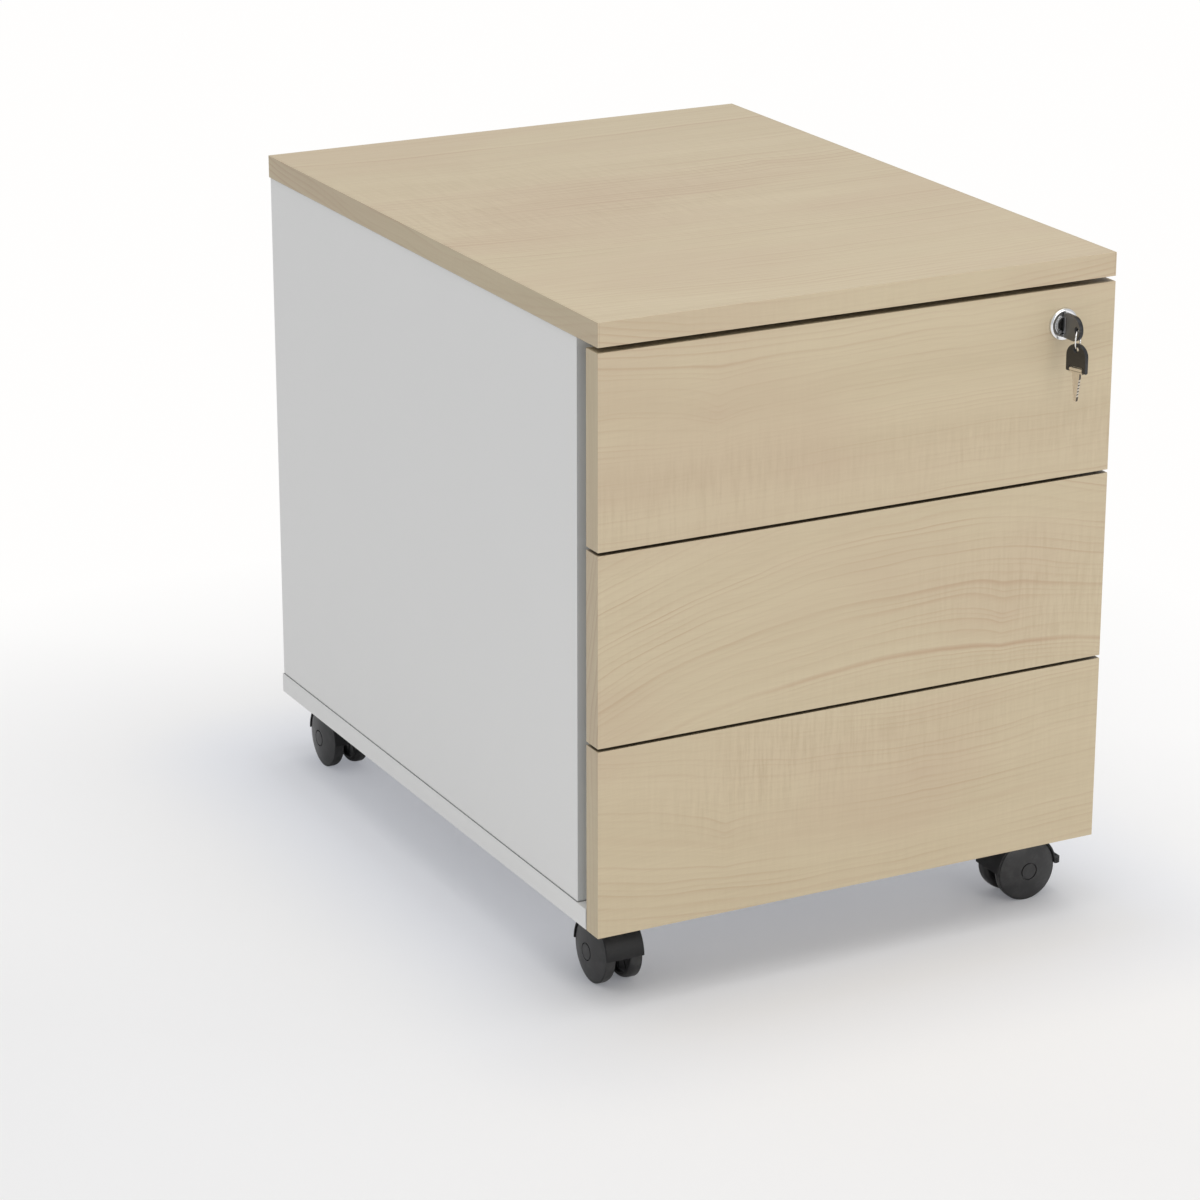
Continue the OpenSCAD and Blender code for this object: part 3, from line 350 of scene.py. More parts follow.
def powder_coat():
    material, tree, shader = new_material("grey_powder_coat", 0.42)
    where = tree.nodes.new("ShaderNodeTexCoord").outputs["Object"]
    peel = speckle(tree, where, (900.0, 900.0, 900.0))
    shade = speckle(tree, where, (30.0, 30.0, 30.0))
    tree.links.new(mix_colours(tree, shade, STEEL_COAT, STEEL_COAT_DARK), shader.inputs["Base Color"])
    tree.links.new(calc(tree, "MULTIPLY_ADD", peel, 0.18, 0.33), shader.inputs["Roughness"])
    bump(tree, shader, peel, 0.00006, 0.4)
    return material


grey_coat = powder_coat()
for drawer in DRAWERS:
    for part in ("drawer_sides_", "runner_rails_"):
        dress(part + drawer, grey_coat)
        soften(part + drawer, 0.00025, 2)


# ---------------------------------------------------------------- Fasteners and other zinc-plated parts
# Cam fittings, screws, caster plates, axles, the lock's cam and its locking bar are steel with a bright
# zinc coat, which is slightly blue and cloudy.

ZINC = (0.640, 0.655, 0.670, 1)
ZINC_CLOUD = (0.470, 0.480, 0.500, 1)


def zinc_plate():
    material, tree, shader = new_material("zinc_plate", 0.34, 1.0)
    where = tree.nodes.new("ShaderNodeTexCoord").outputs["Object"]
    cloud = speckle(tree, where, (160.0, 160.0, 160.0), 4.0, 0.6)
    scratches = speckle(tree, where, (2400.0, 300.0, 2400.0), 2.0, 0.6)
    tree.links.new(mix_colours(tree, cloud, ZINC, ZINC_CLOUD), shader.inputs["Base Color"])
    tree.links.new(calc(tree, "MULTIPLY_ADD", cloud, 0.26, 0.22), shader.inputs["Roughness"])
    bump(tree, shader, scratches, 0.00003, 0.3)
    return material


zinc = zinc_plate()
for part in ("cam_fittings", "panel_screws", "runner_screws", "caster_screws", "caster_plates", "lock_bar",
             "lock_cam"):
    dress(part, zinc)
for part in ("caster_plates", "lock_bar", "lock_cam"):
    soften(part, 0.0003, 2)


# ---------------------------------------------------------------- Dowels
# Fluted beech pegs, glued in blind holes between the sides and the top and bottom boards.

BEECH = (0.600, 0.420, 0.240, 1)
BEECH_DARK = (0.430, 0.270, 0.140, 1)


def beech():
    material, tree, shader = new_material("beech_wood", 0.6)
    where = tree.nodes.new("ShaderNodeTexCoord").outputs["Object"]
    fibre = speckle(tree, where, (900.0, 900.0, 40.0), 3.0, 0.6)
    tree.links.new(mix_colours(tree, fibre, BEECH, BEECH_DARK), shader.inputs["Base Color"])
    bump(tree, shader, fibre, 0.0001, 0.4)
    return material


dress("dowels", beech())


# ---------------------------------------------------------------- Nylon rollers and bar guides
# Turned and moulded white nylon, slightly greyed where the rollers run on the rails.

NYLON = (0.780, 0.775, 0.750, 1)
NYLON_RUN = (0.600, 0.595, 0.570, 1)


def white_plastic():
    material, tree, shader = new_material("white_nylon", 0.36)
    where = tree.nodes.new("ShaderNodeTexCoord").outputs["Object"]
    smear = speckle(tree, where, (70.0, 400.0, 400.0), 3.0, 0.6)
    tree.links.new(mix_colours(tree, step_between(tree, smear, 0.45, 0.8), NYLON, NYLON_RUN),
                   shader.inputs["Base Color"])
    tree.links.new(calc(tree, "MULTIPLY_ADD", smear, 0.2, 0.28), shader.inputs["Roughness"])
    bump(tree, shader, smear, 0.00003, 0.3)
    return material


white_nylon = white_plastic()
dress("lock_bar_guides", white_nylon)
for drawer in DRAWERS:
    for part in ("front_rollers_", "rear_rollers_"):
        dress(part + drawer, white_nylon)
        soften(part + drawer, 0.0003, 2)


# ---------------------------------------------------------------- Lock and keys
# A chromed cylinder lock pressed into the top front, its plug's face coloured dark inside a bright rim. A
# nickelled key with a folding black bow stands in the plug, its blade a darker grey copy of the nickel
# with painted shade and wear, and a spare key of the same kind hangs on a wire ring. Painted near-black
# shade lies on the key edges that look down or to the side, and on the rims of both bows.

MM = 0.001
TOUCHING = 0.001*MM
CHROME = (0.900, 0.905, 0.915, 1)
PLUG_DARK = (0.050, 0.048, 0.044, 1)
PLUG_FACE_R = 5.1*MM
NICKEL = (0.900, 0.830, 0.720, 1)
NICKEL_DULL = (0.700, 0.630, 0.530, 1)
# Painted near-black shade for the key edges that look down or to the side.
KEY_EDGE_SHADE = (0.050, 0.040, 0.032, 1)
# A darker grey copy of the nickel for the key in the lock: painted shade and wear.
KEY_SHADED_NICKEL, KEY_SHADED_NICKEL_DULL = (0.280, 0.285, 0.300, 1), (0.180, 0.180, 0.190, 1)
# The first colour is a near-black painted shade for the bows' rims; the second is their rubbed corners.
BOW_RIM_SHADE, BOW_RUBBED = (0.007, 0.007, 0.009, 1), (0.120, 0.115, 0.108, 1)
# The bows' broad faces: paler grey on the key in the lock, near black on the spare.
BOW_FACE_PALER, BOW_SPARE = (0.110, 0.103, 0.090, 1), (0.032, 0.028, 0.023, 1)
BODY_IN, BODY_OUT, BODY_BACK = 6.55*MM, 9.0*MM, -22*MM
ROSETTE_R, ROSETTE_OUT, ROSETTE_SINK = 12.0*MM, 2.2*MM, -0.05*MM
RAISED_IN, RAISED_OUT = 8.3*MM, 10.6*MM
DISH_R, DISH_AT = 7.9*MM, 1.2*MM
LAND_R, LAND_AT = 7.45*MM, 1.5*MM


def outline(*corners, steps=5):
    """A closed outline through corners (a, b, radius), each rounded by its own radius."""
    points = []
    for i, (a, b, radius) in enumerate(corners):
        here = Vector((a, b))
        if not radius:
            points.append(here)
            continue
        back = (Vector(corners[i - 1][:2]) - here).normalized()
        ahead = (Vector(corners[(i + 1) % len(corners)][:2]) - here).normalized()
        half = back.angle(ahead)/2
        middle = here + (back + ahead).normalized()*radius/math.sin(half)
        first = here + back*radius/math.tan(half) - middle
        last = here + ahead*radius/math.tan(half) - middle
        turn = first.angle_signed(last)
        for s in range(steps + 1):
            points.append(middle + Matrix.Rotation(-turn*s/steps, 2) @ first)
    return points


def finished(name, shape, place, crease=35):
    """Turns a mesh in the making into an object whose shape stands at place."""
    bmesh.ops.remove_doubles(shape, verts=shape.verts, dist=TOUCHING)
    bmesh.ops.recalc_face_normals(shape, faces=shape.faces)
    data = bpy.data.meshes.new(name)
    shape.to_mesh(data)
    shape.free()
    data.transform(place)
    data.shade_smooth()
    data.set_sharp_from_angle(angle=math.radians(crease))
    piece = bpy.data.objects.new(name, data)
    bpy.context.scene.collection.objects.link(piece)
    return piece


def revolve(shape, points, start=0.0, sweep=math.tau, steps=96):
    """Turns a closed outline of (radius, place along X) about the X axis."""
    whole = sweep > math.tau - 0.001
    rings = [[shape.verts.new((h, r*math.cos(start + sweep*s/steps), r*math.sin(start + sweep*s/steps)))
              for r, h in points] for s in range(steps if whole else steps + 1)]
    count = len(points)
    for s in range(steps):
        near, far = rings[s], rings[(s + 1) % len(rings)]
        for i in range(count):
            j = (i + 1) % count
            shape.faces.new((near[i], near[j], far[j], far[i]))
    if not whole:
        shape.faces.new(rings[0])
        shape.faces.new(rings[-1])


def slab(shape, points, low, high, edge=0.0, segments=2):
    """Extrudes a closed outline of (y, z) from low to high along X, with eased rims."""
    near = [shape.verts.new((low, y, z)) for y, z in points]
    far = [shape.verts.new((high, y, z)) for y, z in points]
    count = len(points)
    rims = []
    for i in range(count):
        j = (i + 1) % count
        side = shape.faces.new((near[i], near[j], far[j], far[i]))
        rims += [e for e in side.edges if len({v.co.x for v in e.verts}) == 1]
    shape.faces.new(near)
    shape.faces.new(far)
    if edge:
        bmesh.ops.bevel(shape, geom=list(set(rims)), offset=edge, segments=segments, affect="EDGES",
                        profile=0.5)


def bright_metal(name, colour, dull, rough, metallic=1.0):
    material, tree, shader = new_material(name, rough, metallic)
    where = tree.nodes.new("ShaderNodeTexCoord").outputs["Object"]
    haze = speckle(tree, where, (500.0, 500.0, 500.0), 3.0, 0.6)
    fine = speckle(tree, where, (5000.0, 5000.0, 900.0))
    tree.links.new(mix_colours(tree, haze, colour, dull), shader.inputs["Base Color"])
    tree.links.new(calc(tree, "MULTIPLY_ADD", haze, 0.14, rough), shader.inputs["Roughness"])
    bump(tree, shader, fine, 0.00001, 0.25)
    return material


def worn_plastic(name, colour, worn, rough, grain):
    """Moulded plastic with a fine sparked texture, paler where its corners have rubbed."""
    material, tree, shader = new_material(name, rough)
    where = tree.nodes.new("ShaderNodeTexCoord").outputs["Object"]
    texture = speckle(tree, where, (grain, grain, grain), 2.0, 0.6)
    dust = step_between(tree, speckle(tree, where, (120.0, 120.0, 120.0), 4.0, 0.6), 0.42, 0.75)
    corners = tree.nodes.new("ShaderNodeNewGeometry").outputs["Pointiness"]
    rubbed = step_between(tree, corners, 0.52, 0.62)
    shade = calc(tree, "MULTIPLY_ADD", rubbed, 0.5, calc(tree, "MULTIPLY", dust, 0.35))
    tree.links.new(mix_colours(tree, shade, colour, worn), shader.inputs["Base Color"])
    uneven = calc(tree, "MULTIPLY_ADD", texture, 0.16, rough - 0.08)
    tree.links.new(calc(tree, "MULTIPLY_ADD", dust, 0.1, uneven), shader.inputs["Roughness"])
    bump(tree, shader, texture, 0.00003, 0.35)
    return material


def other_on(material, amount_from, colour, blotches):
    """Gives the part of a material that amount_from finds another colour, slightly uneven."""
    tree = material.node_tree
    base = tree.nodes["Principled BSDF"].inputs["Base Color"]
    coords = tree.nodes.new("ShaderNodeTexCoord")
    uneven = speckle(tree, coords.outputs["Object"], (blotches, blotches, blotches), 3.0, 0.6)
    amount = calc(tree, "MULTIPLY", amount_from(tree, coords), calc(tree, "MULTIPLY_ADD", uneven, 0.3, 0.8))
    tree.links.new(mix_colours(tree, amount, base.links[0].from_socket, colour), base)
    return material


def broad(tree, coords):
    """1 on the broad faces of a key, which look along X, and 0 round its edges."""
    across = put(tree, "ShaderNodeSeparateXYZ", coords.outputs["Normal"])
    return step_between(tree, calc(tree, "ABSOLUTE", across), 0.72, 0.92)


def low_and_side_edges(tree, coords):
    """1 on the key's edges that look down or straight to the side, which get painted shade."""
    up = put(tree, "ShaderNodeSeparateXYZ", coords.outputs["Normal"], out=2)
    narrow = calc(tree, "SUBTRACT", 1.0, broad(tree, coords))
    return calc(tree, "MULTIPLY", narrow, step_between(tree, up, 0.12, -0.02))


def plug_face(tree, coords):
    """1 on the middle of the plug's round face, and 0 on its bright rim."""
    split = put(tree, "ShaderNodeSeparateXYZ", coords.outputs["Object"]).node
    side = calc(tree, "SUBTRACT", split.outputs[0], lock_middle.x)
    up = calc(tree, "SUBTRACT", split.outputs[2], lock_middle.z)
    from_axis = calc(tree, "SQRT", calc(tree, "MULTIPLY_ADD", side, side, calc(tree, "MULTIPLY", up, up)))
    return step_between(tree, from_axis, PLUG_FACE_R + 0.1*MM, PLUG_FACE_R)


plug_low, plug_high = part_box("lock_plug")
lock_middle = (plug_low + plug_high)/2
front_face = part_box("drawer_front_top")[0].y
chrome = bright_metal("polished_chrome", CHROME, CHROME, 0.10)
shape = bmesh.new()
revolve(shape, outline((BODY_IN, BODY_BACK, 0), (BODY_OUT, BODY_BACK, 0.4*MM), (BODY_OUT, ROSETTE_SINK, 0),
                       (ROSETTE_R, ROSETTE_SINK, 0), (ROSETTE_R, 1.5*MM, 0.8*MM),
                       (RAISED_OUT, ROSETTE_OUT, 1.2*MM), (RAISED_IN, ROSETTE_OUT - 0.1*MM, 0.3*MM),
                       (DISH_R, DISH_AT, 0), (LAND_R, DISH_AT - 0.3*MM, 0), (LAND_R, LAND_AT, 0.2*MM),
                       (BODY_IN + 0.1*MM, LAND_AT, 0.2*MM), (BODY_IN, LAND_AT - 0.3*MM, 0)))
place = Matrix.Translation((lock_middle.x, front_face, lock_middle.z)) @ Matrix.Rotation(-math.pi/2, 4, "Z")
housing = finished("cylinder_lock_housing", shape, place, 30)
housing.data.materials.append(chrome)
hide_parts("lock_housing")
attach(housing, "drawer_top")

plug_metal = other_on(bright_metal("plug_metal", CHROME, CHROME, 0.12), plug_face, PLUG_DARK, 900.0)
dress("lock_plug", plug_metal)
soften("lock_plug", 0.2*MM, 2)
# The blade in the lock is the darker grey copy of the nickel, painted shade and wear; the spare keeps the
# pale nickel.
for part, fresh, dull in (("key_blade", KEY_SHADED_NICKEL, KEY_SHADED_NICKEL_DULL), ("spare_key_blade", NICKEL, NICKEL_DULL)):
    blade_metal = bright_metal(part + "_metal", fresh, dull, 0.24, 0.8)
    # Painted shade: the blade edges that look down or to the side turn near black.
    dress(part, other_on(blade_metal, low_and_side_edges, KEY_EDGE_SHADE, 2500.0))
dress("key_ring", chrome)
# Painted shade: the bows' rims, which do not look along X, stay near black, darker than their broad faces.
for part, face in (("key_bow", BOW_FACE_PALER), ("spare_key_bow", BOW_SPARE)):
    bow_plastic = worn_plastic(part + "_plastic", BOW_RIM_SHADE, BOW_RUBBED, 0.36, 2200.0)
    dress(part, other_on(bow_plastic, broad, face, 400.0))
    soften(part, 0.6*MM)


# ---------------------------------------------------------------- Caster wheels
# Each caster has two 50 mm wheels of hard black nylon. A wheel is one moulding: a plain tread, a domed
# outer disc with a round plug over the axle's end, and an open inner side stiffened by low spokes.

CORNERS = {"front_left": 0, "front_right": -90, "back_left": 0, "back_right": 0}
WHEEL_R = 25*MM
WHEEL_IN, TREAD_OUT, WHEEL_TIP = 5.8*MM, 15.2*MM, 19.4*MM
DISC_R, DISC_STEP = 24.5*MM, 0.5*MM
PLUG_R = 6.2*MM
GROOVE_W, GROOVE_T = 0.9*MM, 1.3*MM
HUB_R, RIM_R, RECESS_TO = 8.5*MM, 20.5*MM, 9.5*MM
SHOULDER_R, SHOULDER_TO = 21.6*MM, 11.0*MM
BORE_R, BORE_TO = 3.05*MM, 15.8*MM
SPOKES, SPOKE_HALF, SPOKE_UP = 9, 0.6*MM, 0.3*MM
SUNK = 0.5*MM
DISC_BLACK = (0.020, 0.020, 0.021, 1)
NYLON_RUBBED = (0.075, 0.074, 0.074, 1)


def caster_place(corner):
    """The middle of the caster's axle, with X along the axle and Y towards the trailing side."""
    boxes = [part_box(wheel + corner) for wheel in ("outer_wheel_", "inner_wheel_")]
    low = Vector([min(b[0][k] for b in boxes) for k in range(3)])
    high = Vector([max(b[1][k] for b in boxes) for k in range(3)])
    return Matrix.Translation((low + high)/2) @ Matrix.Rotation(math.radians(CORNERS[corner]), 4, "Z")


def dome(radius):
    """Height of the disc's face along the axle at a radius."""
    ball = (DISC_R**2 + (WHEEL_TIP - TREAD_OUT)**2)/(2*(WHEEL_TIP - TREAD_OUT))
    return WHEEL_TIP - ball + math.sqrt(ball**2 - radius**2)


def joined(shape, other):
    """Adds another mesh in the making to this one."""
    data = bpy.data.meshes.new("joining")
    other.to_mesh(data)
    other.free()
    shape.from_mesh(data)
    bpy.data.meshes.remove(data)


def wheel(name, place):
    shape = bmesh.new()
    groove_r = PLUG_R + GROOVE_W
    groove_at = dome(groove_r) - GROOVE_T
    corners = outline((0, BORE_TO, 0), (BORE_R, BORE_TO, 0), (BORE_R, WHEEL_IN, 0.3*MM),
                      (HUB_R, WHEEL_IN, 0.4*MM), (HUB_R, RECESS_TO, 0.6*MM), (RIM_R, RECESS_TO, 0.8*MM),
                      (RIM_R, WHEEL_IN, 0.3*MM), (SHOULDER_R, WHEEL_IN, 0))
    for k in range(1, 11):
        turn = math.pi*k/20
        corners.append(Vector((SHOULDER_R + (WHEEL_R - SHOULDER_R)*math.sin(turn),
                               SHOULDER_TO - (SHOULDER_TO - WHEEL_IN)*math.cos(turn))))
    corners += outline((WHEEL_R, TREAD_OUT - 1.5*MM, 0), (WHEEL_R, TREAD_OUT - 0.2*MM, 0.5*MM),
                       (DISC_R + 0.35*MM, TREAD_OUT, 0.1*MM),
                       (DISC_R + 0.2*MM, TREAD_OUT - DISC_STEP, 0.05*MM),
                       (DISC_R, TREAD_OUT - DISC_STEP, 0.05*MM), (DISC_R - 0.1*MM, dome(DISC_R - 0.1*MM), 0))
    for k in range(1, 18):
        radius = DISC_R - (DISC_R - groove_r)*k/18
        corners.append(Vector((radius, dome(radius))))
    corners += outline((groove_r, dome(groove_r), 0), (groove_r, groove_at, 0), (PLUG_R, groove_at, 0),
                       (PLUG_R, dome(PLUG_R), 0))
    corners += [Vector((PLUG_R*k/6, dome(PLUG_R*k/6))) for k in range(5, -1, -1)]
    revolve(shape, corners)
    for k in range(SPOKES):
        spoke = bmesh.new()
        slab(spoke, outline((HUB_R - SUNK, -SPOKE_HALF, 0), (RIM_R + SUNK, -SPOKE_HALF, 0),
                            (RIM_R + SUNK, SPOKE_HALF, 0), (HUB_R - SUNK, SPOKE_HALF, 0)),
             RECESS_TO - 0.7*MM, RECESS_TO + SPOKE_UP, 0.2*MM)
        spoke.transform(Matrix.Rotation(math.tau*k/SPOKES, 4, "X"))
        joined(shape, spoke)
    return finished(name, shape, place)


wheel_plastic = worn_plastic("wheel_plastic", DISC_BLACK, NYLON_RUBBED, 0.32, 1800.0)
for corner in CORNERS:
    middle = caster_place(corner)
    for side, flip in (("outer_wheel_", True), ("inner_wheel_", False)):
        turned = middle @ Matrix.Rotation(math.pi, 4, "Z") if flip else middle
        piece = wheel("wheel_" + side.split("_")[0] + "_" + corner, turned)
        piece.data.materials.append(wheel_plastic)
        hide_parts(side + corner)
        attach(piece, side + corner)
    dress("axle_" + corner, zinc)


# ---------------------------------------------------------------- Caster hoods
# A black nylon moulding turns on the kingpin under each plate. It has a half drum over both treads, a
# web between the wheels that holds the axle, and a collar with four small ribs.

NYLON_BLACK, HOOD_RUBBED = (0.012, 0.012, 0.013, 1), (0.034, 0.034, 0.035, 1)
HOOD_IN, HOOD_OUT, HOOD_HALF = 26.1*MM, 27.5*MM, 16.0*MM
HOOD_LIP, LIP_W, HOOD_CROWN = 25.5*MM, 1.2*MM, 0.2*MM
HOOD_LIFT = 1.0*MM
WEB_HALF, BOSS_R = 5.3*MM, 8.5*MM
TRAIL = 5.0*MM
COLLAR_R, COLLAR_FROM, COLLAR_TOP, COLLAR_EDGE = 10.5*MM, 18*MM, 30.7*MM, 0.6*MM
RIB_HALF, RIB_R = 0.5*MM, 14.2*MM
KINGPIN_R, KINGPIN_END = 3.55*MM, 7.5*MM
PIVOT_T, PIVOT_R = 13.0*MM, 1.5*MM
CHEEK_LOW, CHEEK_BACK = -5*MM, 18*MM
THROUGH = 40*MM
# What is cut for the lever, as (low, high): the slot for its arm, the room above its pin, the window
# for its shoe, and the opening behind the pedal.
LEVER_CUTS = (((-2.5*MM, 4.5*MM, -12*MM), (2.5*MM, THROUGH, 20.1*MM)),
              ((-2.5*MM, 1.3*MM, 7.3*MM), (2.5*MM, PIVOT_T, 14.5*MM)),
              ((-10*MM, 0, 12.1*MM), (10*MM, 9.7*MM, 19.4*MM)),
              ((-8*MM, 22*MM, -12*MM), (8*MM, THROUGH, 10*MM)))


def block(low, high):
    shape = bmesh.new()
    bmesh.ops.create_cube(shape, size=1.0)
    size = Vector(high) - Vector(low)
    shape.transform(Matrix.Translation((Vector(low) + Vector(high))/2) @ Matrix.Diagonal((*size, 1)))
    return shape


def rod(radius, low, high, middle=(0, 0), upright=False, steps=48):
    """A pin along X, or along Z where it is upright, at middle (y, z) or (x, y)."""
    shape = bmesh.new()
    revolve(shape, [(0, low), (radius, low), (radius, high), (0, high)], steps=steps)
    bmesh.ops.remove_doubles(shape, verts=shape.verts, dist=TOUCHING)
    if upright:
        shape.transform(Matrix.Translation((*middle, 0)) @ Matrix.Rotation(-math.pi/2, 4, "Y"))
    else:
        shape.transform(Matrix.Translation((0, *middle)))
    bmesh.ops.recalc_face_normals(shape, faces=shape.faces)
    return shape


def combined(parts, cutters):
    """Unites closed meshes in the making, cuts the cutters out of them, and gives the one that is left."""
    result = None
    for operation, shapes in (("UNION", parts), ("DIFFERENCE", cutters)):
        for shape in shapes:
            bmesh.ops.remove_doubles(shape, verts=shape.verts, dist=TOUCHING)
            bmesh.ops.recalc_face_normals(shape, faces=shape.faces)
            data = bpy.data.meshes.new("tool")
            shape.to_mesh(data)
            shape.free()
            tool = bpy.data.objects.new("tool", data)
            bpy.context.scene.collection.objects.link(tool)
            if result is None:
                result = tool
                continue
            step = result.modifiers.new("step", "BOOLEAN")
            step.operation, step.solver, step.object = operation, "MANIFOLD", tool
            bpy.context.view_layer.update()
            made = bpy.data.meshes.new_from_object(
                result.evaluated_get(bpy.context.evaluated_depsgraph_get()))
            result.modifiers.clear()
            old, result.data = result.data, made
            bpy.data.meshes.remove(old)
            bpy.data.objects.remove(tool)
            bpy.data.meshes.remove(data)
    shape = bmesh.new()
    shape.from_mesh(result.data)
    old = result.data
    bpy.data.objects.remove(result)
    bpy.data.meshes.remove(old)
    return shape


def hood_shape(braked):
    rise = math.asin(HOOD_LIFT/HOOD_OUT)
    sweep = math.pi - 2*rise
    drum, web = bmesh.new(), bmesh.new()
    side_r, step_at = HOOD_OUT - HOOD_CROWN, HOOD_HALF - LIP_W - 0.6*MM
    revolve(drum, outline((HOOD_LIP, -HOOD_HALF, 0.2*MM), (side_r, -HOOD_HALF, 1.0*MM), (HOOD_OUT, 0, 0),
                          (side_r, HOOD_HALF, 1.0*MM), (HOOD_LIP, HOOD_HALF, 0.2*MM),
                          (HOOD_LIP, HOOD_HALF - LIP_W, 0), (HOOD_IN, step_at, 0),
                          (HOOD_IN, -step_at, 0), (HOOD_LIP, -HOOD_HALF + LIP_W, 0)),
            rise, sweep, 72)
    web_r = (HOOD_IN + HOOD_OUT)/2
    slab(web, [Vector((web_r*math.cos(rise + sweep*s/48), web_r*math.sin(rise + sweep*s/48)))
               for s in range(49)], -WEB_HALF, WEB_HALF)
    parts = [drum, web, rod(BOSS_R, -WEB_HALF, WEB_HALF, steps=64),
             rod(COLLAR_R, COLLAR_FROM, COLLAR_TOP - COLLAR_EDGE, (0, -TRAIL), True, 64),
             rod(COLLAR_R - COLLAR_EDGE, COLLAR_FROM, COLLAR_TOP, (0, -TRAIL), True, 64)]
    for k in range(4):
        rib = bmesh.new()
        slab(rib, outline((COLLAR_R - SUNK, 25.5*MM, 0), (RIB_R, 22.5*MM, 0.3*MM),
                          (COLLAR_R - SUNK, 29.4*MM, 0)), -RIB_HALF, RIB_HALF)
        rib.transform(Matrix.Translation((0, -TRAIL, 0)) @ Matrix.Rotation(math.radians(45 + 90*k), 4, "Z"))
        parts.append(rib)
    cutters = [rod(KINGPIN_R, KINGPIN_END, THROUGH, (0, -TRAIL), True), rod(BORE_R, -THROUGH/2, THROUGH/2)]
    if braked:
        cheek = bmesh.new()
        cheek_top = HOOD_LIFT + 0.1*MM
        slab(cheek, outline((0, cheek_top, 0), (0, CHEEK_LOW, 1*MM), (PIVOT_T, CHEEK_LOW, 0),
                            (CHEEK_BACK, CHEEK_LOW, 4.9*MM), (CHEEK_BACK, cheek_top, 0)),
             -WEB_HALF, WEB_HALF, 0.3*MM)
        parts.append(cheek)
        cutters += [block(low, high) for low, high in LEVER_CUTS]
    return combined(parts, cutters)


hood_plastic = worn_plastic("black_nylon", NYLON_BLACK, HOOD_RUBBED, 0.44, 1500.0)
hood_plastic.node_tree.nodes["Principled BSDF"].inputs["Specular IOR Level"].default_value = 0.3
hoods = {braked: finished("caster_hood", hood_shape(braked), Matrix.Identity(4), 30)
         for braked in (True, False)}
for corner in CORNERS:
    pattern = hoods[corner.startswith("front")]
    piece = bpy.data.objects.new("caster_hood_" + corner, pattern.data.copy())
    piece.data.transform(caster_place(corner))
    piece.data.materials.clear()
    piece.data.materials.append(hood_plastic)
    bpy.context.scene.collection.objects.link(piece)
    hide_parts("hood_" + corner)
    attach(piece, "caster_" + corner)
for pattern in hoods.values():
    bpy.data.objects.remove(pattern)


# ---------------------------------------------------------------- Brake levers
# On each front caster a nylon pedal stands out behind the hood. Its arm turns on a pin beside the axle
# and wedges a cross bar inside both rims; the pedal's top has three low grip ribs.

SHOE_AT, SHOE_R, SHOE_REACH = (7.3*MM, 17.1*MM), 1.8*MM, 2.8*MM
LEVER_HALF, EYE_R = 2.2*MM, 4*MM
PEDAL_FROM, PEDAL_TO, PEDAL_HALF = 28.3*MM, 34.0*MM, 13.5*MM
PEDAL_TOP, PEDAL_T = 3.6*MM, 4.4*MM
GRIP_HALF, GRIP_W, GRIP_UP, GRIP_FIRST, GRIP_PITCH = 8.5*MM, 0.8*MM, 0.35*MM, 1.1*MM, 1.35*MM


def flat_slab(points, low, high, edge, segments=2, ahead=0.0):
    """A level plate with its outline in (x, y) and its faces at heights low and high, moved along Y."""
    shape = bmesh.new()
    slab(shape, points, low, high, edge, segments)
    shape.transform(Matrix(((0, 1, 0, 0), (0, 0, 1, ahead), (1, 0, 0, 0), (0, 0, 0, 1))))
    return shape


def lever(name, place):
    shape, arm, eye, neck = (bmesh.new() for _ in range(4))
    at_pin = Matrix.Translation((0, PIVOT_T, 0))
    rise, run = SHOE_AT[1], SHOE_AT[0] - PIVOT_T
    length = math.hypot(rise, run)
    slab(arm, outline((0, -SHOE_R, 0), (length, -SHOE_R, 0.5*MM), (length, SHOE_R, 0.5*MM), (0, SHOE_R, 0)),
         -LEVER_HALF, LEVER_HALF, 0.3*MM)
    arm.transform(at_pin @ Matrix.Rotation(math.atan2(rise, run), 4, "X"))
    eye_in = PIVOT_R + 0.05*MM
    revolve(eye, outline((eye_in, -LEVER_HALF, 0), (EYE_R, -LEVER_HALF, 0.3*MM),
                         (EYE_R, LEVER_HALF, 0.3*MM), (eye_in, LEVER_HALF, 0)), steps=48)
    eye.transform(at_pin)
    neck_to = PEDAL_FROM + 1*MM
    slab(neck, outline((PIVOT_T + 1.6*MM, -3.6*MM, 0), (neck_to, PEDAL_TOP - PEDAL_T, 0),
                       (neck_to, PEDAL_TOP, 0), (PIVOT_T + 3*MM, 2.6*MM, 0)), -LEVER_HALF, LEVER_HALF, 0.3*MM)
    shoe = rod(SHOE_R, -WHEEL_IN - SHOE_REACH, WHEEL_IN + SHOE_REACH, SHOE_AT)
    pedal = flat_slab(outline((-PEDAL_HALF, PEDAL_FROM, 0.8*MM), (PEDAL_HALF, PEDAL_FROM, 0.8*MM),
                              (PEDAL_HALF, PEDAL_TO, 4.6*MM), (-PEDAL_HALF, PEDAL_TO, 4.6*MM), steps=10),
                      PEDAL_TOP - PEDAL_T, PEDAL_TOP, 0.7*MM, 3)
    for part in (arm, eye, neck, shoe, pedal):
        joined(shape, part)
    for k in range(3):
        joined(shape, flat_slab(outline((-GRIP_HALF, 0, 0.3*MM), (GRIP_HALF, 0, 0.3*MM),
                                        (GRIP_HALF, GRIP_W, 0.3*MM), (-GRIP_HALF, GRIP_W, 0.3*MM)),
                                PEDAL_TOP - 0.3*MM, PEDAL_TOP + GRIP_UP, 0.15*MM,
                                ahead=PEDAL_FROM + GRIP_FIRST + GRIP_PITCH*k))
    return finished(name, shape, place, 30)


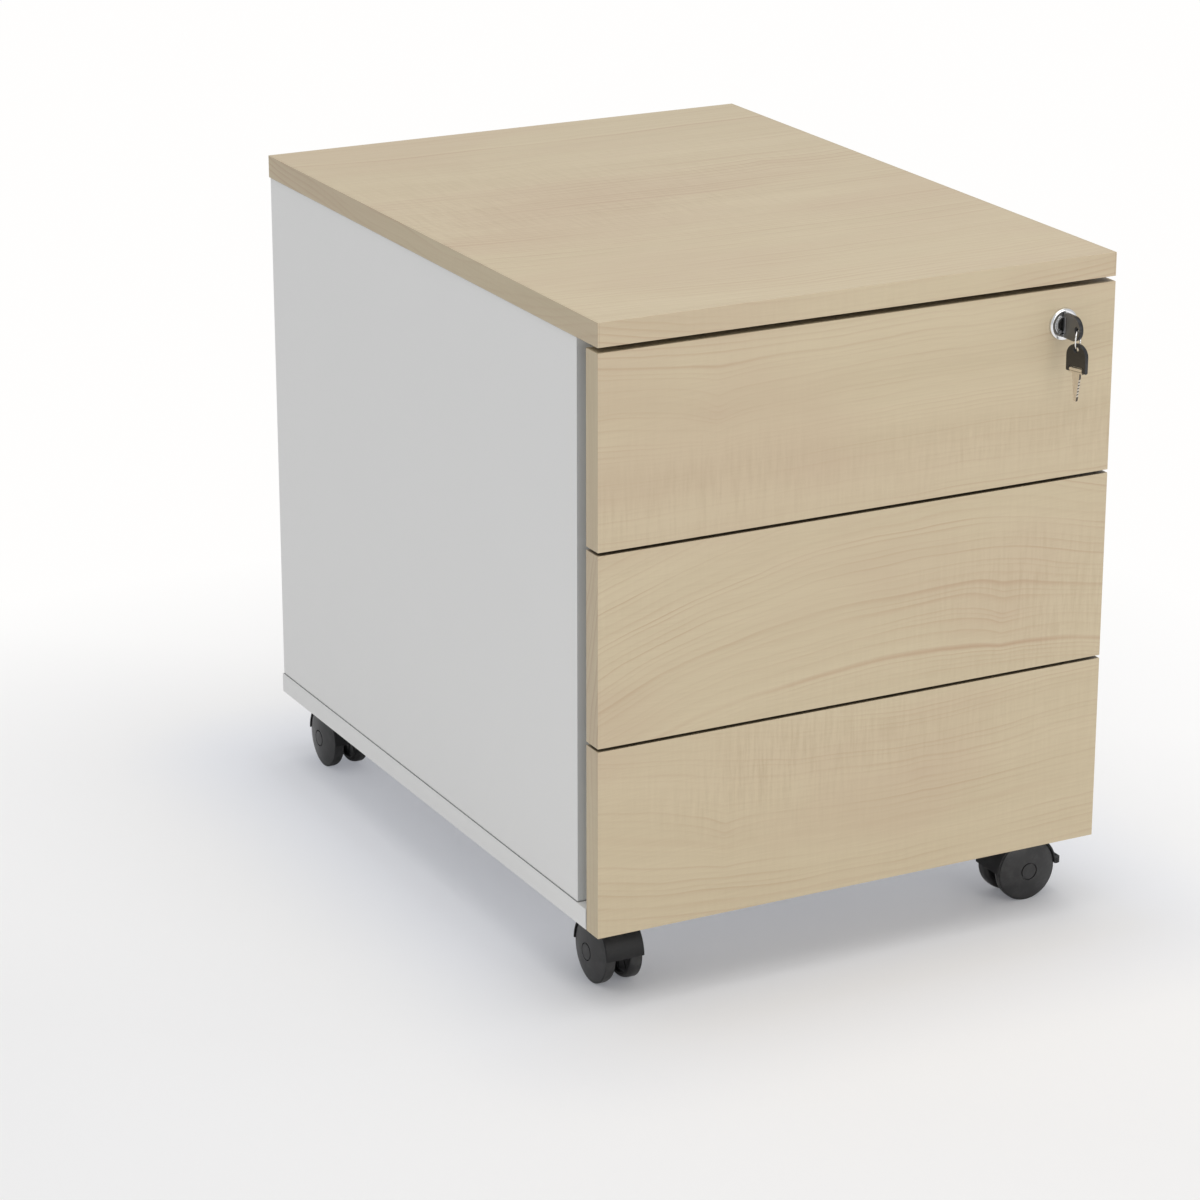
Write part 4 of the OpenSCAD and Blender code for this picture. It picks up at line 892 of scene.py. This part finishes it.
for corner in ("front_left", "front_right"):
    piece = lever("brake_pedal_" + corner, caster_place(corner))
    piece.data.materials.append(hood_plastic)
    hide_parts("brake_lever_" + corner)
    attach(piece, "brake_lever_" + corner)


# ---------------------------------------------------------------- The room
# A pale studio: a white floor that keeps the soft shadow under painted light and shade seen only by
# the camera, white surroundings, a very broad lamp overhead and a weaker one low in front, a little to
# the right.

centre = (cad_low + cad_high)/2
FLOOR_WHITE = (0.865, 0.862, 0.868, 1)
FLOOR_CLOUD = (0.855, 0.852, 0.858, 1)
FLOOR_HALF = 6.0
# The floor is painted lighter to the camera by a glow, which turns it white away from the cabinet: at
# these distances from its edges, more so towards the back and the right, and everywhere far off. Close
# to it the real shadow is left, painted lighter by the least glow, painted darker under the front, and
# painted with a bluish tint of shade.
GLOW_NEAR, GLOW_FAR = 0.02, 0.50
GLOW_FRONT, GLOW_BACK, GLOW_RIGHT = -0.60, 0.45, 0.9
GLOW_DISTANT = (1.3, 3.2)
GLOW_LEAST, FRONT_SHADOW_DARKENING = 0.28, 0.22
UNDER_FRONT, UNDER_REACH = (-0.10, -0.30), (0.16, 0.0)
PAINTED_SHADOW_TINT, GLOW_WHITE = (0.88, 0.91, 1.0, 1), (1.0, 0.993, 0.986, 1)
PAINTED_TINT_REACH = 0.16
ROOM_WHITE, ROOM_LIGHT = (0.960, 0.980, 1.0, 1), 0.60
LAMP_WARM = (1.0, 0.975, 0.945)

floor_mesh = bmesh.new()
bmesh.ops.create_grid(floor_mesh, x_segments=8, y_segments=8, size=FLOOR_HALF)
floor_data = bpy.data.meshes.new("studio_floor")
floor_mesh.to_mesh(floor_data)
floor = bpy.data.objects.new("studio_floor", floor_data)
bpy.context.scene.collection.objects.link(floor)
floor_white, tree, shader = new_material("studio_floor", 0.9)
shader.inputs["Specular IOR Level"].default_value = 0.1
place = tree.nodes.new("ShaderNodeTexCoord").outputs["Object"]
grain = speckle(tree, place, (0.8, 0.8, 0.8))
tree.links.new(mix_colours(tree, grain, FLOOR_WHITE, FLOOR_CLOUD), shader.inputs["Base Color"])
split = put(tree, "ShaderNodeSeparateXYZ", place).node.outputs
beyond = []
for axis in (0, 1):
    from_middle = calc(tree, "ABSOLUTE", calc(tree, "SUBTRACT", split[axis], centre[axis]))
    half = (cad_high - cad_low)[axis]/2
    beyond.append(calc(tree, "MAXIMUM", calc(tree, "SUBTRACT", from_middle, half), 0.0))
away = calc(tree, "MULTIPLY", beyond[1], beyond[1])
away = calc(tree, "SQRT", calc(tree, "MULTIPLY_ADD", beyond[0], beyond[0], away))
farther = calc(tree, "POWER", put(tree, "ShaderNodeMapRange", away, GLOW_NEAR, GLOW_FAR, 0.0, 1.0), 0.6)
backwards = calc(tree, "MULTIPLY_ADD", split[0], GLOW_RIGHT, split[1])
behind = put(tree, "ShaderNodeMapRange", backwards, GLOW_FRONT, GLOW_BACK, 0.0, 1.0)
distant = step_between(tree, away, *GLOW_DISTANT)
amount = calc(tree, "MAXIMUM", calc(tree, "MULTIPLY", farther, behind), distant)
# Painted shadow: the least glow drops under the front, so the shadow there shows darker.
under_front = calc(tree, "MULTIPLY", step_between(tree, split[1], *UNDER_FRONT),
                   step_between(tree, away, *UNDER_REACH))
least = calc(tree, "MULTIPLY_ADD", under_front, -FRONT_SHADOW_DARKENING, GLOW_LEAST)
amount = calc(tree, "MULTIPLY_ADD", amount, calc(tree, "SUBTRACT", 1.0, least), least)
seen = put(tree, "ShaderNodeLightPath").node.outputs
camera_only = calc(tree, "MULTIPLY", amount, seen["Is Camera Ray"])
# Painted shade: close to the cabinet the glow takes a bluish tint.
open_floor = step_between(tree, away, 0.0, PAINTED_TINT_REACH)
glow = put(tree, "ShaderNodeEmission", mix_colours(tree, open_floor, PAINTED_SHADOW_TINT, GLOW_WHITE), 1.0)
mixed = put(tree, "ShaderNodeMixShader", camera_only, shader.outputs[0], glow)
tree.links.new(mixed, tree.nodes["Material Output"].inputs["Surface"])
floor_data.materials.append(floor_white)

world = bpy.data.worlds.new("white_room")
world.use_nodes = True
tree = world.node_tree
sky = tree.nodes["Background"]
sky.inputs["Color"].default_value = ROOM_WHITE
sky.inputs["Strength"].default_value = ROOM_LIGHT
white = put(tree, "ShaderNodeBackground", (1, 1, 1, 1), 1.0)
seen = put(tree, "ShaderNodeLightPath").node.outputs
straight = calc(tree, "MAXIMUM", seen["Is Camera Ray"], seen["Is Transmission Ray"])
both = put(tree, "ShaderNodeMixShader", straight, sky.outputs[0], white)
tree.links.new(both, tree.nodes["World Output"].inputs["Surface"])
bpy.context.scene.world = world


def lamp(name, place, size, watts):
    """A round warm-white lamp at place, turned to the middle of the cabinet."""
    light = bpy.data.lights.new(name, "AREA")
    light.shape, light.size, light.energy, light.color = "DISK", size, watts, LAMP_WARM
    holder = bpy.data.objects.new(name, light)
    holder.location = place
    holder.rotation_mode = "QUATERNION"
    holder.rotation_quaternion = (centre - Vector(place)).to_track_quat("-Z", "Y")
    bpy.context.scene.collection.objects.link(holder)


lamp("top_lamp", (0.1, -0.6, 3.2), 3.2, 42)
lamp("front_lamp", (0.9, -3.0, 1.1), 2.0, 18)


# ---------------------------------------------------------------- The camera
# A long lens, a little above the cabinet and to its front left.

AIM = (-0.0617, 0.0167, 0.2080)
AZIMUTH, ELEVATION, DISTANCE = math.radians(-27.423), math.radians(19.231), 3.17
LENS, SENSOR = 120.0, 36.0

eye = Vector((math.sin(AZIMUTH)*math.cos(ELEVATION), -math.cos(AZIMUTH)*math.cos(ELEVATION),
              math.sin(ELEVATION)))
camera_data = bpy.data.cameras.new("camera")
camera_data.lens, camera_data.sensor_width = LENS, SENSOR
camera = bpy.data.objects.new("camera", camera_data)
camera.location = Vector(AIM) + eye*DISTANCE
camera.rotation_mode = "QUATERNION"
camera.rotation_quaternion = (-eye).to_track_quat("-Z", "Y")
bpy.context.scene.collection.objects.link(camera)
bpy.context.scene.camera = camera

bpy.context.scene.view_settings.view_transform = "Standard"
